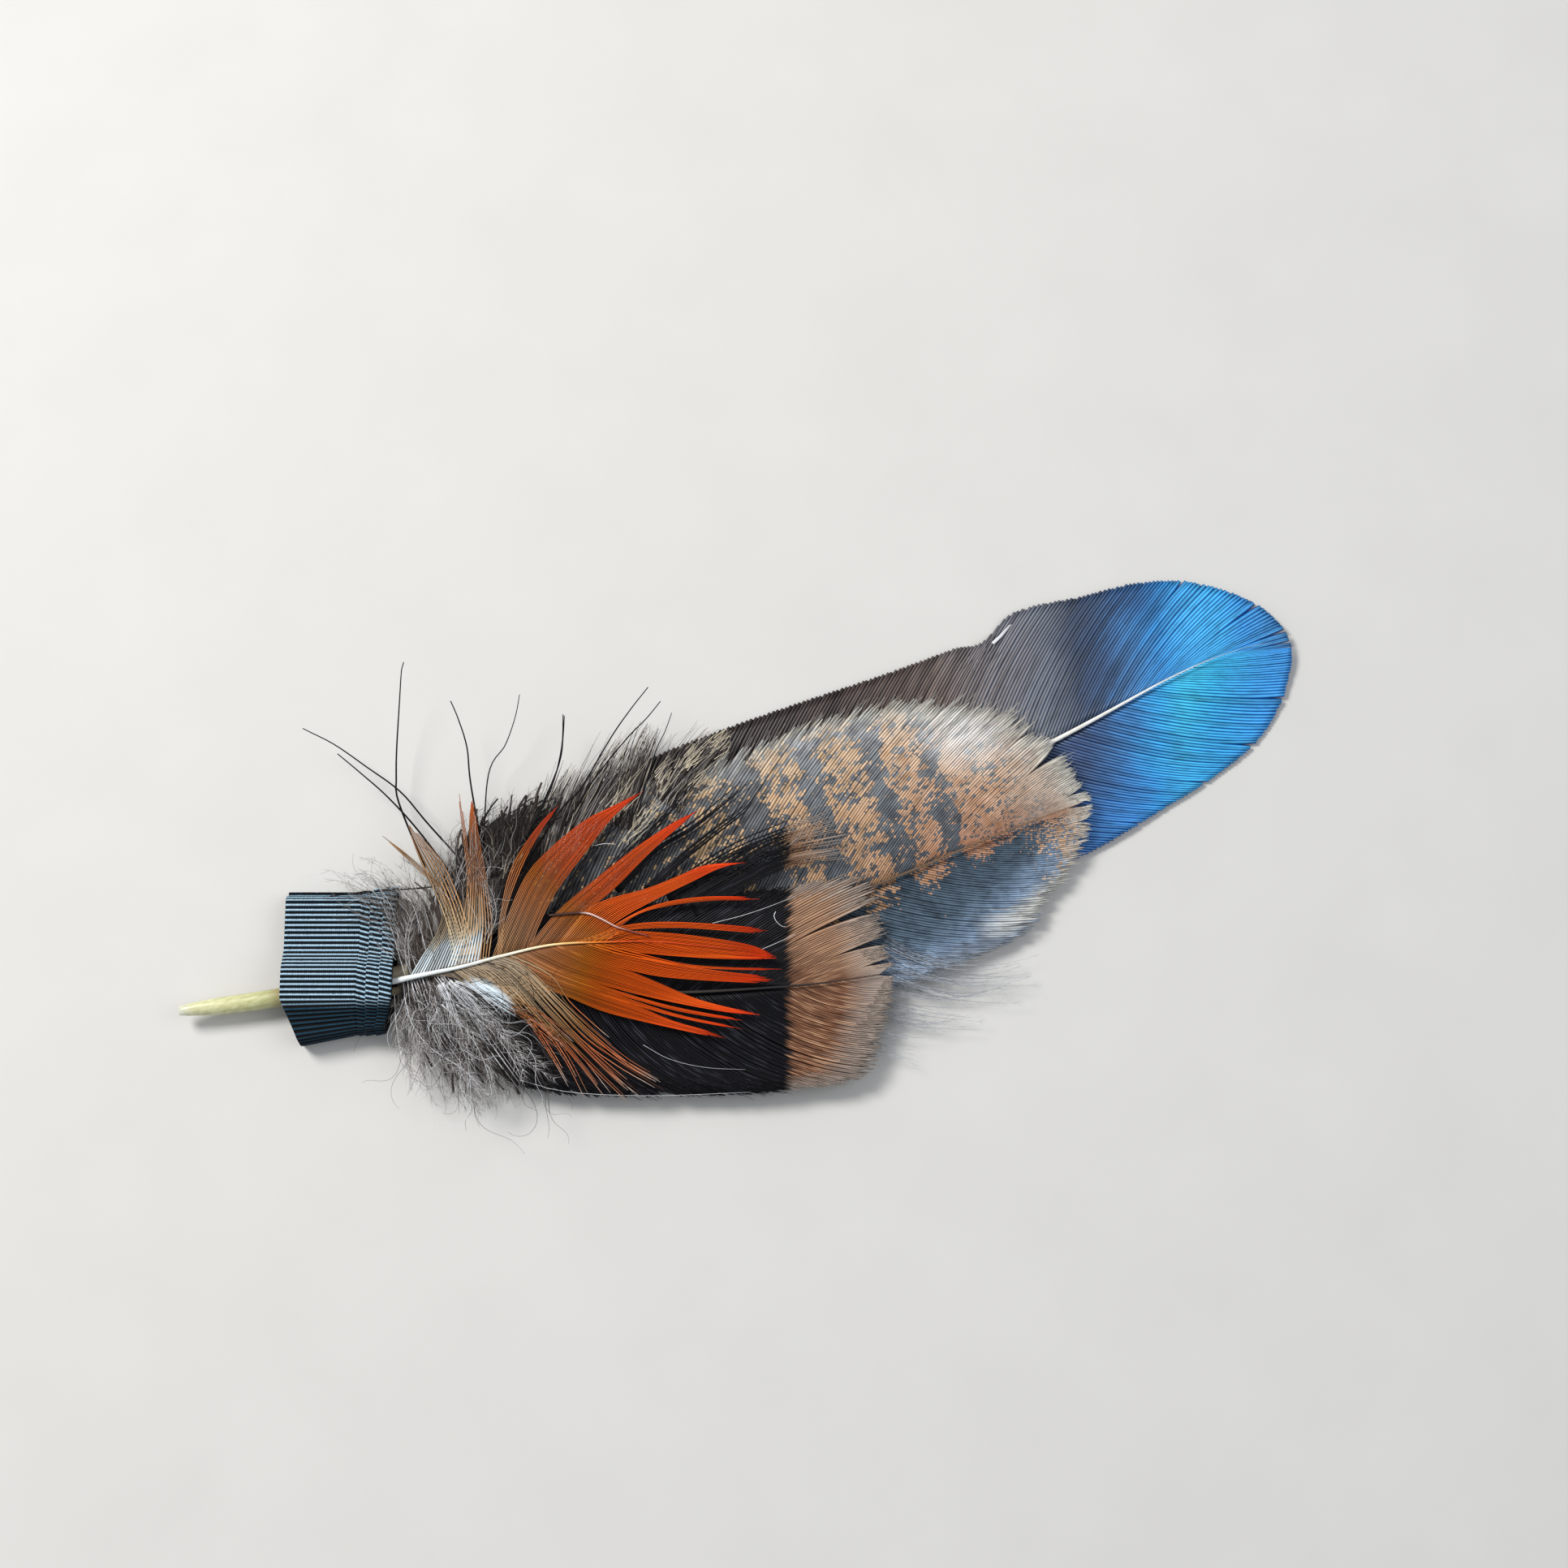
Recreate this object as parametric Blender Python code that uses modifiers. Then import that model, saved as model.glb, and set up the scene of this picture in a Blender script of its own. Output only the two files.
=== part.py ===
"""Hat feather: four feathers in layers, their quills held together in a ribbon loop.

The bundle lies on a level surface with the feathers' upper faces up. X runs from the cut
quill to the blue tip, Y across the vanes, Z up. Sizes are in millimetres, as (x, y) seen
from above with the middle of the bundle's length at 0, and become metres in the meshes.
"""

import math

import bmesh
import bpy
import numpy as np
from mathutils import Vector

MM = 0.001
VANE_THICKNESS = 0.6
LOCK_THICKNESS = 0.5
# From one feather's vane to the next above it, at mid thickness.
LAYER_PITCH = 1.35
# How far a shaft stands above the middle of its own vane.
SHAFT_PROUD = 0.7

# The lowest vane's height along its shaft: an arch that comes down at the tip.
ARCH_X = (-85, -55, -20, 20, 50, 68, 76, 82)
ARCH_Z = (2.3, 2.3, 3.4, 4.2, 4.0, 2.9, 1.7, 0.9)
# The vanes droop to each side of the lowest shaft, by this much at this distance.
DROOP = 4.7
DROOP_REACH = 14.0
LOWEST_VANE = 0.42

# The height of the quills where they leave the loop, and where they have joined the layers.
QUILLS_UNTIL_X = -53.0
LAYERS_FROM_X = -43.0
BLUE_QUILL_Z = 2.3
SMALL_QUILL_Z = 2.3
ORANGE_QUILL_Z = 4.15

BLUE = {
    "layer": 0,
    "quill_z": BLUE_QUILL_Z,
    "spine": [(-80.4, 0), (-66.3, -2.6), (-51, -4.6), (-27.3, -7), (-4.3, -7.7), (19.7, -5.9),
              (43.9, -3), (62.5, 0.4), (72.4, 1.3), (80.2, 0.7)],
    "radius": (1.05, 1.25, 1.0, 0.5, 0.22),
    "vane_from": 0.26,
    "upper": [(-40, -2), (-31, 5.5), (-18, 11.8), (-6.4, 13.6), (8.6, 14.2), (26.4, 14.3), (36.2, 14.6),
              (40, 14.2), (45.9, 16.9), (55.8, 16), (63.3, 15.4), (70.9, 12.9), (77.4, 7.9), (80.5, 1.9)],
    "lower": [(-38, -10), (-30.4, -14.5), (-14.5, -19), (3, -20.5), (21, -20), (35, -19.2), (44.7, -18.6),
              (56.2, -16.1), (64.2, -14.1), (71.2, -11.4), (76.2, -7.5), (79.3, -2.5)],
    "bow": (0.10, 0.13),
    "rows": 28,
}
MOTTLED = {
    "layer": 1,
    "quill_z": SMALL_QUILL_Z,
    "spine": [(-61, -5.6), (-51, -6.9), (-40, -9.4), (-28.7, -12.2), (-6.5, -14.3), (13.6, -14.2),
              (33.9, -12.8), (45.8, -12.3)],
    "radius": (0.6, 0.65, 0.5, 0.3, 0.15),
    "vane_from": 0.21,
    "upper": [(-40, -2), (-34, 6), (-26, 9), (-16, 10.5), (-4, 10.6), (6, 10.5), (14.3, 11), (24.2, 10.5),
              (33.2, 7.3), (40.7, 2.5), (43.8, -3.1), (45.4, -8), (46.2, -12)],
    "lower": [(-39, -13), (-31.4, -19.6), (-16.5, -24), (-0.7, -27), (10.4, -28), (24.5, -27.6), (32.4, -26.8),
              (37, -23), (41.7, -19.9), (45.2, -16), (46.1, -13)],
    "bow": (0.10, 0.12),
    "rows": 20,
}
BLACK_TAN = {
    "layer": 2,
    "quill_z": SMALL_QUILL_Z,
    "spine": [(-60, -7.3), (-51, -8.5), (-40, -11.7), (-29.6, -15), (-16, -19.4), (-4.7, -22.5), (3, -24.4),
              (12, -26)],
    "radius": (0.6, 0.65, 0.5, 0.3, 0.15),
    "vane_from": 0.22,
    "upper": [(-43, -5), (-36, -2), (-27, -4), (-16, -6.5), (-6, -9), (3, -10.5), (10, -11.6), (13.6, -13.2),
              (13.9, -17.6), (12.9, -25)],
    "lower": [(-46, -14), (-42.5, -22), (-36, -27), (-25.8, -30.9), (-10.3, -35.8), (-3, -37.4), (3, -38.5),
              (6.7, -37.2), (9, -33.7), (11.4, -30), (12.6, -26.6)],
    "bow": (0.08, 0.16),
    "rows": 18,
}
ORANGE = {
    "layer": 3,
    "quill_z": ORANGE_QUILL_Z,
    "spine": [(-61.5, -4.4), (-51, -5.8), (-43.3, -7.1), (-36.3, -7.6), (-29.5, -8.4), (-21.6, -10.7),
              (-15.9, -12.6), (-6, -17)],
    "radius": (0.55, 0.6, 0.45, 0.3, 0.15),
    "vane_from": 0.21,
    "upper": [(-49.4, -2.5), (-44, 1), (-38, 0), (-32, -1.5), (-25, -4.5), (-19, -7.5), (-12, -11.5), (-6.4, -15.6)],
    "lower": [(-49.6, -9.5), (-44, -13), (-36, -13.6), (-30, -15), (-24, -19.4), (-18, -21.4), (-12, -20.8),
              (-6.6, -18.4)],
    "bow": (0.05, 0.08),
    "rows": 10,
}

# Locks: where each leaves its vane, its tip, its width at the root, and how far it bows to its left.
FRINGE_LOCKS = [
    ((-34, 2), (-34.2, 10.8), 3.2, 0.12), ((-31, 3), (-26.3, 12.4), 3.4, 0.06),
    ((-27, 4), (-18.7, 15.2), 3.6, 0.05), ((-22, 5), (-11, 16.2), 3.6, 0.04),
    ((-16, 5), (-7.2, 17.4), 3.4, 0.04), ((-9, 6), (1.5, 13.4), 3.2, 0.05),
]
DOWN_LOCKS_BELOW = [
    ((-6, -23), (7.8, -32.6), 5, -0.08), ((-1, -23), (14.8, -36.6), 6, -0.08),
    ((5, -23), (23.2, -35.4), 6, -0.1), ((12, -23), (31.5, -32.6), 6, -0.1),
]
STRAND_LOCKS = [
    ((-17, -11), (5.6, -3.4), 1.6, 0.02), ((-24, -8), (2.7, 5.6), 1.4, 0.04),
    ((-21, -9), (4.5, 4.2), 1.4, 0.03), ((-26, -7), (0.8, 9.8), 1.2, 0.05),
    ((-9, -12), (14.2, -3.2), 1.6, 0.03), ((-6, -12), (13.6, -6.4), 1.8, 0.03),
    ((-3, -13), (13, -9.4), 2.0, 0.03), ((-13, -12), (9.4, -4.6), 1.6, 0.03),
]
# Long loose hairs of the black feather: root, tip, width, bow, and how far the tip lifts.
HAIR_LOCKS = [
    ((-44, -6), (-52.6, 30.8), 0.9, -0.08, 4), ((-43, -6), (-47.2, 25.4), 0.9, -0.1, 3),
    ((-46, -6), (-36.7, 35.6), 0.9, 0.1, 5), ((-40, -6), (-32.6, 27.9), 0.9, 0.05, 4),
    ((-41, -6), (-23.6, 25.8), 0.9, 0.06, 3), ((-36, -6), (-18.5, 21.4), 0.9, 0.05, 3),
    ((-33, -6), (-6, 20.4), 0.9, 0.05, 3), ((-36.5, -4.5), (-52.6, 9.8), 0.8, -0.08, 2),
]
FLAME_LOCKS = [
    ((-47.2, -3.6), (-47.6, 14.6), 1.8, -0.08), ((-44.8, -3), (-43.5, 14.6), 2.0, -0.04),
    ((-41.4, -3), (-35.4, 17.1), 1.4, 0.06), ((-39.2, -3.6), (-34, 15.4), 3.2, 0.05),
    ((-36.4, -4), (-22.5, 10.7), 1.2, 0.07), ((-34, -4), (-18.9, 8.2), 2.8, 0.08),
    ((-31, -4.6), (-11.5, 8.5), 4.4, 0.07), ((-25.8, -6.6), (-5.1, 3.6), 4.2, 0.05),
    ((-21.2, -8.6), (-4, -4.6), 3.6, 0.05), ((-18, -10.2), (-0.7, -10.8), 1.6, 0.05),
    ((-15.6, -11.8), (-1.6, -15), 1.8, 0.03), ((-13, -14), (-1.2, -19.1), 2.6, 0.02),
    ((-13.6, -16.6), (-2.5, -22), 2.4, -0.02), ((-17, -17.4), (-5.7, -26), 2.8, -0.03),
    ((-19.6, -18.8), (-8.8, -26.9), 1.4, -0.04), ((-22.6, -17.6), (-11.2, -27.7), 2.4, -0.06),
    ((-32.6, -11.2), (-20.9, -31.2), 1.4, -0.07), ((-35, -11), (-22.8, -30.6), 1.4, -0.08),
    ((-38, -10.4), (-25.4, -31.1), 1.6, -0.09),
]
# Fluffy down at the root of the orange feather.
FLUFF_LOCKS = [
    ((-48, -8), (-53.4, -16.6), 3, 0.08), ((-47.2, -9), (-53.2, -21), 3.6, 0.1),
    ((-45.8, -9.4), (-49.6, -25.8), 4, 0.08), ((-44, -9.8), (-45.4, -27.6), 4.4, 0.06),
    ((-42.2, -10.2), (-40.9, -28.2), 4.4, 0.04), ((-40.4, -10.6), (-36.5, -25), 4, 0),
    ((-46, -3.2), (-51.5, 10.6), 2.2, -0.18),
]

LOOP_LENGTH = 15.4
LOOP_WIDTH = 20.8
LOOP_WALL = 0.8
LOOP_MIDDLE = (-58.1, -1.6)
# The loop sits square to the band that it came from, which the bundle crosses at this angle.
LOOP_TURN = math.radians(-18.7)
# Height of the space inside, at the loop's two side folds and over the quills.
LOOP_SLOT = (2.4, 1.5)
LOOP_CROWN = 5.0
LOOP_CROWN_AT = -2.7
LOOP_CROWN_REACH = 4.2
LOOP_POINTS = 11
# Three folded-back plies at the loop's right end, each this much proud of the one before.
PLY_STARTS = (2.6, 3.9, 5.7)
PLY_STEP = 0.22

BLUE_COLOUR = (0.05, 0.19, 0.45)
MOTTLED_COLOUR = (0.30, 0.22, 0.15)
BLACK_TAN_COLOUR = (0.05, 0.04, 0.045)
ORANGE_COLOUR = (0.75, 0.16, 0.02)
RIBBON_COLOUR = (0.04, 0.13, 0.16)


def clear_scene():
    for thing in list(bpy.data.objects):
        bpy.data.objects.remove(thing, do_unlink=True)


def new_collection(name):
    made = bpy.data.collections.new(name)
    bpy.context.scene.collection.children.link(made)
    return made


def new_material(name, colour, roughness, metallic=0.0):
    made = bpy.data.materials.new(name)
    made.use_nodes = True
    shader = made.node_tree.nodes["Principled BSDF"]
    shader.inputs["Base Color"].default_value = (*colour, 1)
    shader.inputs["Roughness"].default_value = roughness
    shader.inputs["Metallic"].default_value = metallic
    made.diffuse_color = (*colour, 1)
    return made


def smooth_line(points, steps=12):
    """A smooth line through the points, as a function of 0 to 1 along its length."""
    p = np.array(points, float)
    p = np.vstack([2 * p[0] - p[1], p, 2 * p[-1] - p[-2]])
    made = []
    for i in range(1, len(p) - 2):
        for t in np.arange(steps) / steps:
            made.append(0.5 * (2 * p[i] + (p[i + 1] - p[i - 1]) * t
                               + (2 * p[i - 1] - 5 * p[i] + 4 * p[i + 1] - p[i + 2]) * t**2
                               + (3 * p[i] - p[i - 1] - 3 * p[i + 1] + p[i + 2]) * t**3))
    made = np.array(made + [p[-2]])
    run = np.append(0, np.cumsum(np.linalg.norm(np.diff(made, axis=0), axis=1)))
    run /= run[-1]
    return lambda t: np.array([np.interp(t, run, column) for column in made.T])


BLUE_LINE = smooth_line(BLUE["spine"])(np.linspace(0, 1, 200))


def bed(x, y):
    """Height of the lowest vane, mid thickness: an arch along its shaft that droops to both sides."""
    arch = np.interp(x, ARCH_X, ARCH_Z)
    away = y - np.interp(x, BLUE_LINE[0], BLUE_LINE[1])
    free = arch - DROOP * (1 - math.exp(-((away / DROOP_REACH) ** 2)))
    return 0.5 * (free + LOWEST_VANE + math.sqrt((free - LOWEST_VANE) ** 2 + 0.3))


def smooth_step(x, start, end):
    t = min(max((x - start) / (end - start), 0), 1)
    return t * t * (3 - 2 * t)


def layer_height(feather, x, y):
    """Height of a feather's vane, mid thickness. Near the loop the layers come down onto the quills."""
    spread = smooth_step(x, QUILLS_UNTIL_X, LAYERS_FROM_X)
    quill = feather["quill_z"] - SHAFT_PROUD + feather["radius"][1]
    return (1 - spread) * quill + spread * (bed(x, y) + feather["layer"] * LAYER_PITCH)


def curved(root, edge, bow, t):
    """A point on the barb from the shaft to the vane's edge, bowed by a share of its length."""
    root, edge = np.array(root, float), np.array(edge, float)
    side = np.array([-(edge - root)[1], (edge - root)[0]])
    middle = (root + edge) / 2 + 2 * bow * side
    return (1 - t) ** 2 * root + 2 * t * (1 - t) * middle + t * t * edge


def sheet(name, along, across, place, thickness):
    """A thin solid from a grid whose points (0 to 1, -1 to 1) are moved to place(a, b)."""
    bm = bmesh.new()
    bmesh.ops.create_grid(bm, x_segments=along, y_segments=across, size=1)
    for v in bm.verts:
        v.co = Vector(place((v.co.x + 1) / 2, v.co.y)) * MM
    mesh = bpy.data.meshes.new(name)
    bm.to_mesh(mesh)
    bm.free()
    made = bpy.data.objects.new(name, mesh)
    bpy.context.scene.collection.objects.link(made)
    solid = made.modifiers.new("thickness", "SOLIDIFY")
    solid.thickness = thickness * MM
    solid.offset = 0
    return made


def vane(name, feather):
    """Both halves of a vane in one sheet, its grid lines running along the barbs."""
    spine = smooth_line(feather["spine"])
    upper = smooth_line(feather["upper"])
    lower = smooth_line(feather["lower"])
    start = feather["vane_from"]

    def place(a, b):
        root = spine(start + (1 - start) * a)
        if b >= 0:
            x, y = curved(root, upper(a), feather["bow"][0], b)
        else:
            x, y = curved(root, lower(a), -feather["bow"][1], -b)
        return x, y, layer_height(feather, x, y)

    return sheet(name, feather["rows"], 8, place, VANE_THICKNESS)


def shaft(name, feather, steps=18):
    """The tapered quill and shaft, with its top a little proud of the vane."""
    spine = smooth_line(feather["spine"])
    radii = feather["radius"]
    curve = bpy.data.curves.new(name, "CURVE")
    curve.dimensions = "3D"
    curve.bevel_depth = MM
    curve.bevel_resolution = 2
    curve.use_fill_caps = True
    line = curve.splines.new("POLY")
    line.points.add(steps)
    for i, point in enumerate(line.points):
        t = i / steps * 0.985
        x, y = spine(t)
        radius = float(np.interp(t, np.linspace(0, 1, len(radii)), radii))
        z = layer_height(feather, x, y) + SHAFT_PROUD - radius
        point.co = (x * MM, y * MM, z * MM, 1)
        point.radius = radius
    made = bpy.data.objects.new(name, curve)
    bpy.context.scene.collection.objects.link(made)
    return as_mesh(made)


def lock(name, feather, root, tip, width, bow, lift=0.0):
    """A flat lock of barbs that tapers from its root in the vane to its tip."""
    run = np.array(tip, float) - np.array(root, float)
    side = np.array([-run[1], run[0]]) / np.linalg.norm(run)

    def place(a, b):
        half = width / 2 * (1 - 0.85 * a) * (1 + 0.6 * a * (1 - a))
        x, y = curved(root, tip, bow, a) + side * half * b
        return x, y, layer_height(feather, x, y) + 0.08 + lift * a**4

    return sheet(name, 5, 1, place, LOCK_THICKNESS)


def as_mesh(thing):
    """The evaluated object as a plain mesh object, its loose caps welded."""
    read = thing.evaluated_get(bpy.context.evaluated_depsgraph_get())
    mesh = bpy.data.meshes.new_from_object(read)
    bm = bmesh.new()
    bm.from_mesh(mesh)
    bmesh.ops.remove_doubles(bm, verts=bm.verts, dist=1e-6)
    bmesh.ops.recalc_face_normals(bm, faces=bm.faces)
    bm.to_mesh(mesh)
    bm.free()
    made = bpy.data.objects.new(thing.name + "_solid", mesh)
    made.matrix_world = thing.matrix_world
    bpy.context.scene.collection.objects.link(made)
    bpy.data.objects.remove(thing)
    return made


def fuse(name, pieces, material, collection):
    """One solid from overlapping closed pieces."""
    bpy.context.view_layer.update()
    pieces = [as_mesh(piece) for piece in pieces]
    body = pieces[0]
    others = new_collection("joined_into_" + name)
    for piece in pieces[1:]:
        others.objects.link(piece)
    join = body.modifiers.new("join", "BOOLEAN")
    join.operation = "UNION"
    join.solver = "EXACT"
    join.operand_type = "COLLECTION"
    join.collection = others
    bpy.context.view_layer.update()
    made = as_mesh(body)
    for piece in pieces[1:]:
        bpy.data.objects.remove(piece)
    bpy.data.collections.remove(others)
    made.name = name
    made.data.name = name
    made.data.materials.clear()
    made.data.materials.append(material)
    made.data.shade_smooth()
    made.data.set_sharp_from_angle(angle=math.radians(40))
    for place in list(made.users_collection):
        place.objects.unlink(made)
    collection.objects.link(made)
    return made


def make_feather(name, feather, locks, material, collection):
    pieces = [vane(name + "_vane", feather), shaft(name + "_shaft", feather)]
    for i, values in enumerate(locks):
        pieces.append(lock(f"{name}_lock_{i}", feather, *values))
    return fuse(name, pieces, material, collection)


def loop_outline(proud, outside):
    """Half-open loop section as (across, height) points, clockwise from its lower left corner."""
    inset = 0 if outside else LOOP_WALL
    half = LOOP_WIDTH / 2 - inset + (proud if outside else 0)
    floor = inset
    low_side, high_side = LOOP_SLOT
    roof = []
    for w in np.linspace(-half * 0.9, half * 0.9, LOOP_POINTS):
        side_height = low_side + (high_side - low_side) * (w / half + 1) / 2
        crown = math.exp(-(((w - LOOP_CROWN_AT) / LOOP_CROWN_REACH) ** 4))
        top = LOOP_WALL + side_height + (LOOP_CROWN - LOOP_WALL - side_height) * crown
        roof.append((w, top + (LOOP_WALL + proud if outside else 0)))
    rise_low = roof[0][1] - floor
    rise_high = roof[-1][1] - floor
    left = [(-half * (1 - 0.08 * abs(c) ** 2), floor + rise_low * (0.5 + c / 2)) for c in (-0.6, 0, 0.6)]
    right = [(half * (1 - 0.08 * abs(c) ** 2), floor + rise_high * (0.5 + c / 2)) for c in (0.6, 0, -0.6)]
    return [(-half * 0.94, floor)] + left + roof + right + [(half * 0.94, floor)]


def loop_piece(name, start, end, proud):
    """A stretch of the loop, from start to end along it, as an outline with its slot cut through."""
    curve = bpy.data.curves.new(name, "CURVE")
    curve.dimensions = "2D"
    curve.fill_mode = "BOTH"
    curve.extrude = (end - start) / 2 * MM
    for outside in (True, False):
        points = loop_outline(proud, outside)
        line = curve.splines.new("POLY")
        line.points.add(len(points) - 1)
        line.use_cyclic_u = True
        for point, (w, z) in zip(line.points, points):
            point.co = (w * MM, z * MM, 0, 1)
    made = bpy.data.objects.new(name, curve)
    bpy.context.scene.collection.objects.link(made)
    middle = (start + end) / 2
    made.rotation_euler = (math.pi / 2, 0, math.pi / 2 + LOOP_TURN)
    made.location = (
        (LOOP_MIDDLE[0] + middle * math.cos(LOOP_TURN)) * MM,
        (LOOP_MIDDLE[1] + middle * math.sin(LOOP_TURN)) * MM,
        0,
    )
    bpy.context.view_layer.update()
    return as_mesh(made)


def make_loop(material, collection):
    half = LOOP_LENGTH / 2
    pieces = [loop_piece("loop_base", -half, half, 0)]
    for i, start in enumerate(PLY_STARTS):
        pieces.append(loop_piece(f"loop_ply_{i}", start, half - 0.1 * (i + 1), PLY_STEP * (i + 1)))
    return fuse("ribbon_loop", pieces, material, collection)


def centre_on_floor(things):
    """Moves the bundle so that the middle of its box is over the origin."""
    corners = np.array([thing.matrix_world @ v.co for thing in things for v in thing.data.vertices])
    low, high = corners.min(axis=0), corners.max(axis=0)
    shift = Vector((-(low[0] + high[0]) / 2, -(low[1] + high[1]) / 2, -low[2]))
    for thing in things:
        thing.location += shift


def main():
    clear_scene()
    bundle = new_collection("hat_feather")
    blue = new_material("blue_vane", BLUE_COLOUR, 0.42)
    mottled = new_material("mottled_vane", MOTTLED_COLOUR, 0.6)
    black_tan = new_material("black_tan_vane", BLACK_TAN_COLOUR, 0.5)
    orange = new_material("orange_vane", ORANGE_COLOUR, 0.5)
    ribbon = new_material("ribbon", RIBBON_COLOUR, 0.7)
    things = [
        make_feather("blue_feather", BLUE, [], blue, bundle),
        make_feather("mottled_feather", MOTTLED, FRINGE_LOCKS + DOWN_LOCKS_BELOW, mottled, bundle),
        make_feather("black_tan_feather", BLACK_TAN, STRAND_LOCKS + HAIR_LOCKS, black_tan, bundle),
        make_feather("orange_feather", ORANGE, FLAME_LOCKS + FLUFF_LOCKS, orange, bundle),
        make_loop(ribbon, bundle),
    ]
    centre_on_floor(things)


main()
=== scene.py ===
"""Looks of the hat feather: four layered feathers whose quills run through a ribbon loop.

Tables are in millimetres, in the frame that the solids were drawn in: x from the cut quill to
the blue tip, y across the vanes, seen from above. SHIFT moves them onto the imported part. Every
barb, hair, tuft of down and ribbon rib is a closed thin strand or shell in mesh.
"""

import math

import bpy
import numpy as np
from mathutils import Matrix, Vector

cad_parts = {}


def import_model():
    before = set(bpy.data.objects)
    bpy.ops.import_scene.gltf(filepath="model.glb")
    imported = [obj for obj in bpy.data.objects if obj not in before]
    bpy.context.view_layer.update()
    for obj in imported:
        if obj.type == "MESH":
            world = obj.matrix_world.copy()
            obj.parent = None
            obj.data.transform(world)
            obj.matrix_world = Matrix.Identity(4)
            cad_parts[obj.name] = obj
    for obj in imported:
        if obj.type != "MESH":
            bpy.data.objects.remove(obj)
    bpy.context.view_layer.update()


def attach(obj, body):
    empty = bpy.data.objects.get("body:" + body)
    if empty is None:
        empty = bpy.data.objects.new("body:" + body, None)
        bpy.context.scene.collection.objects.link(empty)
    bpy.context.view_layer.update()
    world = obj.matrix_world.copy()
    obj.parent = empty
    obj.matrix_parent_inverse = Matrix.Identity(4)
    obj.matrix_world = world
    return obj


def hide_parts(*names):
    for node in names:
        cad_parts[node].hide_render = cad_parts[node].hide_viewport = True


MM = 0.001
SHIFT = np.array([0.027, 1.408, 0.0])

# The photograph's right and up lie at 18.7 degrees to the frame's x and y.
PHOTO_COS = 0.947
PHOTO_SIN = 0.3206

# The layers, as the solids have them.
LAYER_PITCH = 1.35
SHAFT_PROUD = 0.7
ARCH_X = (-85, -55, -20, 20, 50, 68, 76, 82)
ARCH_Z = (2.3, 2.3, 3.4, 4.2, 4.0, 2.9, 1.7, 0.9)
DROOP = 4.7
DROOP_REACH = 14.0
LOWEST_VANE = 0.42
QUILLS_UNTIL_X = -53.0
LAYERS_FROM_X = -43.0
BLUE_QUILL_Z = 2.3
SMALL_QUILL_Z = 2.3
ORANGE_QUILL_Z = 4.15

# Each feather: its shaft line and radii, the outline of its vane, and for each half of the vane
# the directions of the barbs (place along the vane, degrees from +x), their bow and their number.
BLUE = {
    "layer": 0,
    "quill_z": BLUE_QUILL_Z,
    "spine": [(-80.4, 0), (-66.3, -2.6), (-51, -4.6), (-27.3, -7), (-4.3, -7.7), (19.7, -5.9),
              (43.9, -3), (62.5, 0.4), (72.4, 1.3), (80.2, 0.7)],
    "radius": (1.05, 1.25, 1.0, 0.5, 0.22),
    "vane_from": 0.26,
    "vane_to": 0.95,
    "upper": [(-40, -2), (-31, 5.5), (-18, 11.8), (-6.4, 13.6), (8.6, 14.2), (26.4, 14.3), (36.2, 14.6),
              (40, 14.2), (45.9, 16.9), (55.8, 16), (63.3, 15.4), (70.9, 12.9), (77.4,
                                                                                 7.9), (80.1, 3.2), (80.5, -0.3)],
    "lower": [(-38, -10), (-30.4, -14.5), (-14.5, -19), (3, -20.5), (21, -20), (35, -19.2), (44.7, -18.6),
              (56.2, -16.1), (64.2, -14.1), (71.2, -11.4), (76.2, -7.5), (79.3, -3.2), (80.4, -0.4)],
    "upper_barbs": {"angles": [(0, 58), (0.6, 48), (0.82, 41), (0.9, 32), (0.96, 18), (1, -6)], "bow": 0.05,
                    "count": 190},
    "lower_barbs": {"angles": [(0, -48), (0.6, -30), (0.85, -27), (0.95, -22), (1, -10)], "bow": -0.05,
                    "count": 190},
}
MOTTLED = {
    "layer": 1,
    "quill_z": SMALL_QUILL_Z,
    "spine": [(-61, -5.6), (-51, -6.9), (-40, -9.4), (-28.7, -12.2), (-6.5, -14.3), (13.6, -14.2),
              (33.9, -12.8), (45.8, -12.3)],
    "radius": (0.6, 0.65, 0.5, 0.3, 0.15),
    "vane_from": 0.21,
    "vane_to": 0.97,
    "upper": [(-40, -2), (-34, 6), (-26, 9), (-16, 10.5), (-4, 10.6), (6, 10.5), (14.3, 11), (24.2, 10.5),
              (33.2, 7.3), (40.7, 2.5), (43.8, -3.1), (45.4, -8), (46.2, -12)],
    "lower": [(-39, -13), (-31.4, -19.6), (-16.5, -24), (-0.7, -27), (10.4, -28), (24.5, -27.6), (32.4, -26.8),
              (37, -23), (41.7, -19.9), (45.2, -16), (46.1, -13)],
    "upper_barbs": {"angles": [(0, 55), (0.4, 40), (0.7, 30), (0.85, 20), (1, 2)], "bow": 0.04, "count": 170},
    "lower_barbs": {"angles": [(0, -50), (0.4, -32), (0.7, -22), (0.9, -14), (1, -5)], "bow": -0.06, "count": 150},
}
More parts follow.
